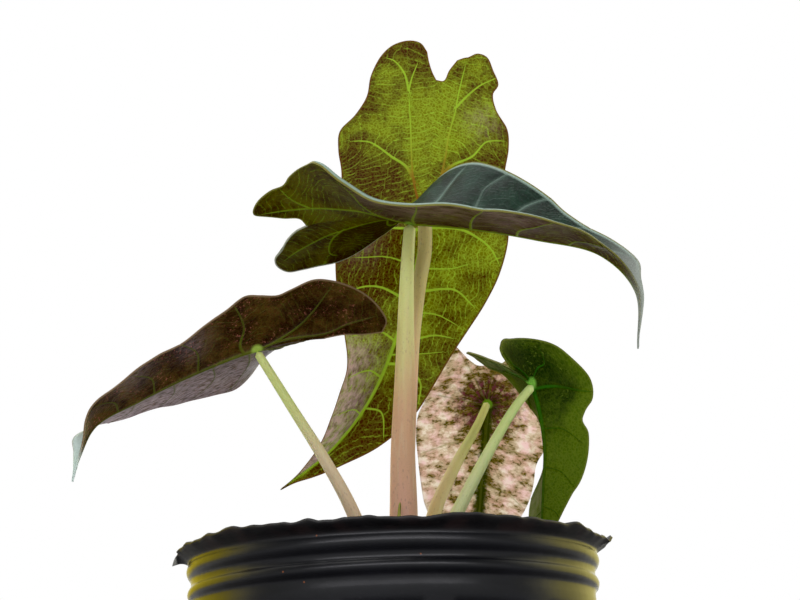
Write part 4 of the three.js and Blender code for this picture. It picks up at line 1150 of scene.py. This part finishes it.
def pot_material():
    """Thin black plastic with a satin gloss, duller and faintly red on the crinkled lip, and grey on
    the flap at its left end"""
    shade = Shade(bpy.data.materials.new("pot_plastic_fine"))
    place = shade.place()
    x, _, z = shade.split(place)
    shade.colour = shade.mix(shade.ease(shade.noise(place, 0.04, 3.0), 0.35, 0.7), "050509", "0a0a10")
    lip = shade.ease(z, POT_HEIGHT - 5.4, POT_HEIGHT - 3.6)
    shade.paint(lip, shade.mix(shade.ease(shade.noise(place, 0.09, 2.0), 0.45, 0.65), "080506", "1a0a09"))
    shade.paint(shade.times(lip, shade.ease(x, -78.4, -79.6), 0.9), "a8a69e")
    flecks = shade.cells(place, 0.11)["Distance"]
    shade.paint(shade.times(shade.ease(flecks, 0.05, 0.02), 0.8), "8a4a20")
    dust = shade.noise(place, 0.9, 4.0, 0.7)
    shade.paint(shade.times(shade.ease(dust, 0.6, 0.8), 0.05), "8d8a88")
    gloss = shade.plus(shade.plus(0.26, shade.noise(place, 0.35, 4.0, 0.65), 0.08), lip, 0.25)
    return shade.finish(shade.surface(gloss, shade.plus(shade.noise(place, 0.12, 2.0), dust, 0.03), 0.0001))


# Soil and corm

def soil_material():
    """Dark crumbs, some of them browner"""
    shade = Shade(bpy.data.materials.new("soil_fine"))
    place = shade.place()
    crumbs = shade.cells(place, 0.7)
    shade.colour = shade.mix(shade.ease(shade.noise(place, 0.08, 4.0), 0.35, 0.65), "2a1c14", "43301f")
    shade.paint(shade.times(shade.ease(shade.split(crumbs["Color"])[0], 0.6, 0.95), 0.5), "6a4a30")
    height = shade.math("SUBTRACT", shade.noise(place, 0.5, 5.0, 0.7), crumbs["Distance"])
    return shade.finish(shade.surface(0.95, height, 0.0015))


def bit_material(name, low, high, roughness):
    shade = Shade(bpy.data.materials.new(name))
    place = shade.place()
    shade.colour = shade.mix(shade.ease(shade.noise(place, 0.5, 4.0), 0.35, 0.65), low, high)
    return shade.finish(shade.surface(roughness, shade.noise(place, 1.6, 4.0, 0.7), 0.0008))


def corm_material():
    """A brown, fibrous corm"""
    shade = Shade(bpy.data.materials.new("corm_fibres"))
    place = shade.place()
    rings = shade.noise(shade.stretch(place, 0.15, 0.15, 1.0), 0.5, 4.0)
    fibres = shade.noise(shade.stretch(place, 1.0, 1.0, 0.1), 1.4, 4.0)
    shade.colour = shade.mix(shade.ease(rings, 0.35, 0.65), "4a2f1e", "8a6342")
    return shade.finish(shade.surface(0.85, shade.plus(rings, fibres), 0.0012))


def soil_piece(materials):
    """Rough potting mix, mounded towards the stalks, with bark chips and perlite lying in it"""
    low = POT_BASE_RADIUS - POT_WALL - POT_PANEL_DEPTH - SOIL_GAP
    edge = POT_TOP_RADIUS - POT_WALL - SOIL_GAP

    def top(x, y):
        r = np.hypot(x, y)
        calm = np.minimum(1, (edge - r) / 6 + 0.3)
        broad = np.sin(x * 0.31 + 1.3) * np.cos(y * 0.37)
        fine = np.sin(x * 0.83 - y * 0.61) * np.cos(y * 0.9 + 0.4)
        lumps = 0.7 * value_noise(x + 200, y + 200, 3.1, 21) + 0.45 * value_noise(x + 90, y + 90, 1.3, 22)
        return SOIL_TOP + SOIL_DOME * (1 - (r / edge) ** 2) + (1.3 * (broad + 0.7 * fine) + lumps) * calm

    turn = np.linspace(0, TURN, SOIL_TURNS, endpoint=False)
    rows = []
    for z in (SOIL_BASE, 60, POT_BAND_HEIGHT):
        r = low + (edge - low) * z / POT_BAND_HEIGHT
        rows.append(np.stack([r * np.cos(turn), r * np.sin(turn), z + 0 * turn], -1))
    for i in range(SOIL_RINGS):
        r = edge * (1 - i / SOIL_RINGS)
        x, y = r * np.cos(turn), r * np.sin(turn)
        rows.append(np.stack([x, y, top(x, y)], -1))
    points = [*rows, [(0, 0, SOIL_BASE), (0, 0, top(0.0, 0.0))]]
    triangles = [ring_triangles(len(rows), SOIL_TURNS)]
    which = [np.zeros(len(triangles[0]), int)]
    total = len(rows) * SOIL_TURNS + 2
    draw = np.random.default_rng(SOIL_SEED)
    box = np.array([(x, y, z) for x in (-1, 1) for y in (-1, 1) for z in (-1, 1)], float)
    box_faces = np.array([(0, 1, 3), (0, 3, 2), (4, 6, 7), (4, 7, 5), (0, 4, 5), (0, 5, 1),
                          (2, 3, 7), (2, 7, 6), (0, 2, 6), (0, 6, 4), (1, 5, 7), (1, 7, 3)])
    for kind, (count, size) in enumerate(SOIL_BITS, 1):
        for _ in range(count):
            r = (edge - 4) * math.sqrt(draw.uniform(0.02, 1))
            angle = draw.uniform(0, TURN)
            x, y = r * math.cos(angle), r * math.sin(angle)
            scale = np.array(size) * draw.uniform(0.4, 1.5)
            turned = Matrix.Rotation(draw.uniform(0, 6.3), 3, "Z")
            turned = turned @ Matrix.Rotation(draw.normal(0, 0.5), 3, "X")
            turned = turned @ Matrix.Rotation(draw.normal(0, 0.3), 3, "Y")
            shape = box * (1 + draw.uniform(-0.35, 0.2, (8, 3))) * scale
            points.append(shape @ np.array(turned).T + (x, y, top(x, y) + draw.uniform(0, 0.4)))
            triangles.append(box_faces + total)
            which.append(np.full(len(box_faces), kind))
            total += len(box)
    which = np.concatenate(which)
    piece = make_piece("soil", np.concatenate(points), np.concatenate(triangles), materials, which)
    piece.data.polygons.foreach_set("use_smooth", which == 0)


# Stage

def stage():
    """A pale floor that mirrors darkly, and a studio that is white behind and dim in front"""
    bpy.ops.mesh.primitive_plane_add(size=FLOOR_SIZE, location=(0, 0, 0))
    floor = bpy.context.object
    floor.name = "floor"
    shade = Shade(bpy.data.materials.new("floor_pale"))
    away = shade.ease(shade.length(shade.place()), 200.0, 650.0)
    mirrored = shade.node("ShaderNodeLightPath", {}).outputs["Is Glossy Ray"]
    dim = shade.mix(away, (0.12, 0.12, 0.13, 1), (0.42, 0.42, 0.44, 1))
    inputs = {"Base Color": shade.mix(mirrored, (0.86, 0.86, 0.85, 1), dim), "Roughness": 0.6}
    floor.data.materials.append(shade.finish(shade.node("ShaderNodeBsdfPrincipled", inputs)))
    world = bpy.data.worlds.new("studio")
    bpy.context.scene.world = world
    sky = Shade(world)
    x, y, z = sky.split(sky.node("ShaderNodeTexCoord", {}).outputs["Generated"])
    rays = sky.node("ShaderNodeLightPath", {}).outputs
    glossy, seen = rays["Is Glossy Ray"], rays["Is Camera Ray"]
    behind = sky.ease(y, -0.2, 0.35)
    overhead = sky.plus(1.0, sky.ease(z, 0.45, 1.0), -0.5)
    strength = sky.times(sky.plus(ROOM_LIGHT, behind, BACK_LIGHT - ROOM_LIGHT), overhead)
    wall = sky.times(sky.ease(z, 0.5, 0.15), sky.ease(y, -0.2, -0.6), glossy)
    strength = sky.plus(strength, wall, WALL_LIGHT)
    low = sky.times(sky.ease(z, 0.9, 0.45), sky.ease(sky.math("ABSOLUTE", x), 0.15, 0.4))
    tint = sky.mix(sky.ease(x, -0.1, 0.1), (0.68, 0.54, 0.03, 1), (0.8, 0.7, 0.22, 1))
    tint = sky.mix(sky.times(glossy, low, behind), (0.97, 0.99, 1.0, 1), tint)
    glow = sky.node("ShaderNodeBackground", {"Color": tint, "Strength": strength})
    white = sky.node("ShaderNodeBackground", {"Color": (1, 1, 1, 1), "Strength": 1.0})
    inputs = {0: seen, 1: glow.outputs[0], 2: white.outputs[0]}
    sky.finish(sky.node("ShaderNodeMixShader", inputs), "ShaderNodeOutputWorld")


def soft_light(name, place, aim, sides, power, colour=(1, 1, 1)):
    lamp = bpy.data.lights.new(name, "AREA")
    lamp.shape = "RECTANGLE"
    lamp.size, lamp.size_y = sides
    lamp.energy = power
    lamp.color = colour
    light = bpy.data.objects.new(name, lamp)
    bpy.context.scene.collection.objects.link(light)
    light.location = place
    light.rotation_euler = (Vector(aim) - Vector(place)).to_track_quat("-Z", "Y").to_euler()


def camera():
    lens = bpy.data.cameras.new("camera")
    lens.lens = CAMERA_LENS
    lens.sensor_width = SENSOR_WIDTH
    lens.clip_start = CLIP_START
    view = bpy.data.objects.new("camera", lens)
    bpy.context.scene.collection.objects.link(view)
    tilt = Matrix.Rotation(math.radians(90 + CAMERA_PITCH), 4, "X")
    roll = Matrix.Rotation(math.radians(-CAMERA_ROLL), 4, "Z")
    view.matrix_world = Matrix.Translation([v * MM for v in CAMERA_PLACE]) @ tilt @ roll
    bpy.context.scene.camera = view


stage()
camera()
soft_light("top_light", (-0.15, -0.1, 1.0), (0, 0, 0.15), (0.7, 0.7), 3.0)
soft_light("front_light", (0.0, -1.6, 0.92), (0, 0, 0.13), (2.8, 0.4), 12.0, (0.95, 0.94, 1.0))

for name, look in UNDERSIDES.items():
    under = underside(name, {**UNDERSIDE, **look})
    blade(name, under, upper_side(name, UPPER_SIDES[name]), look["tone"], look["painted_sheen"])
blade("blade_small", variegated("variegated_under"), variegated("variegated_upper"), [], [])
for name, look in STALK_LOOKS.items():
    stalk(name, stalk_material(name + "_skin", *look))
shoot_piece()
pot_piece(pot_material())
soil_piece([soil_material(), bit_material("bark", "4a3020", "7a5638", 0.85),
            bit_material("perlite", "c9c6bd", "efece4", 0.9)])
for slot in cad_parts["corm"].material_slots:
    slot.material = corm_material()

settings = bpy.context.scene.view_settings
settings.view_transform = "Standard"
settings.look = "None"
settings.use_curve_mapping = True
settings.curve_mapping.black_level = (BLACK_LEVEL, BLACK_LEVEL, BLACK_LEVEL)
settings.curve_mapping.update()
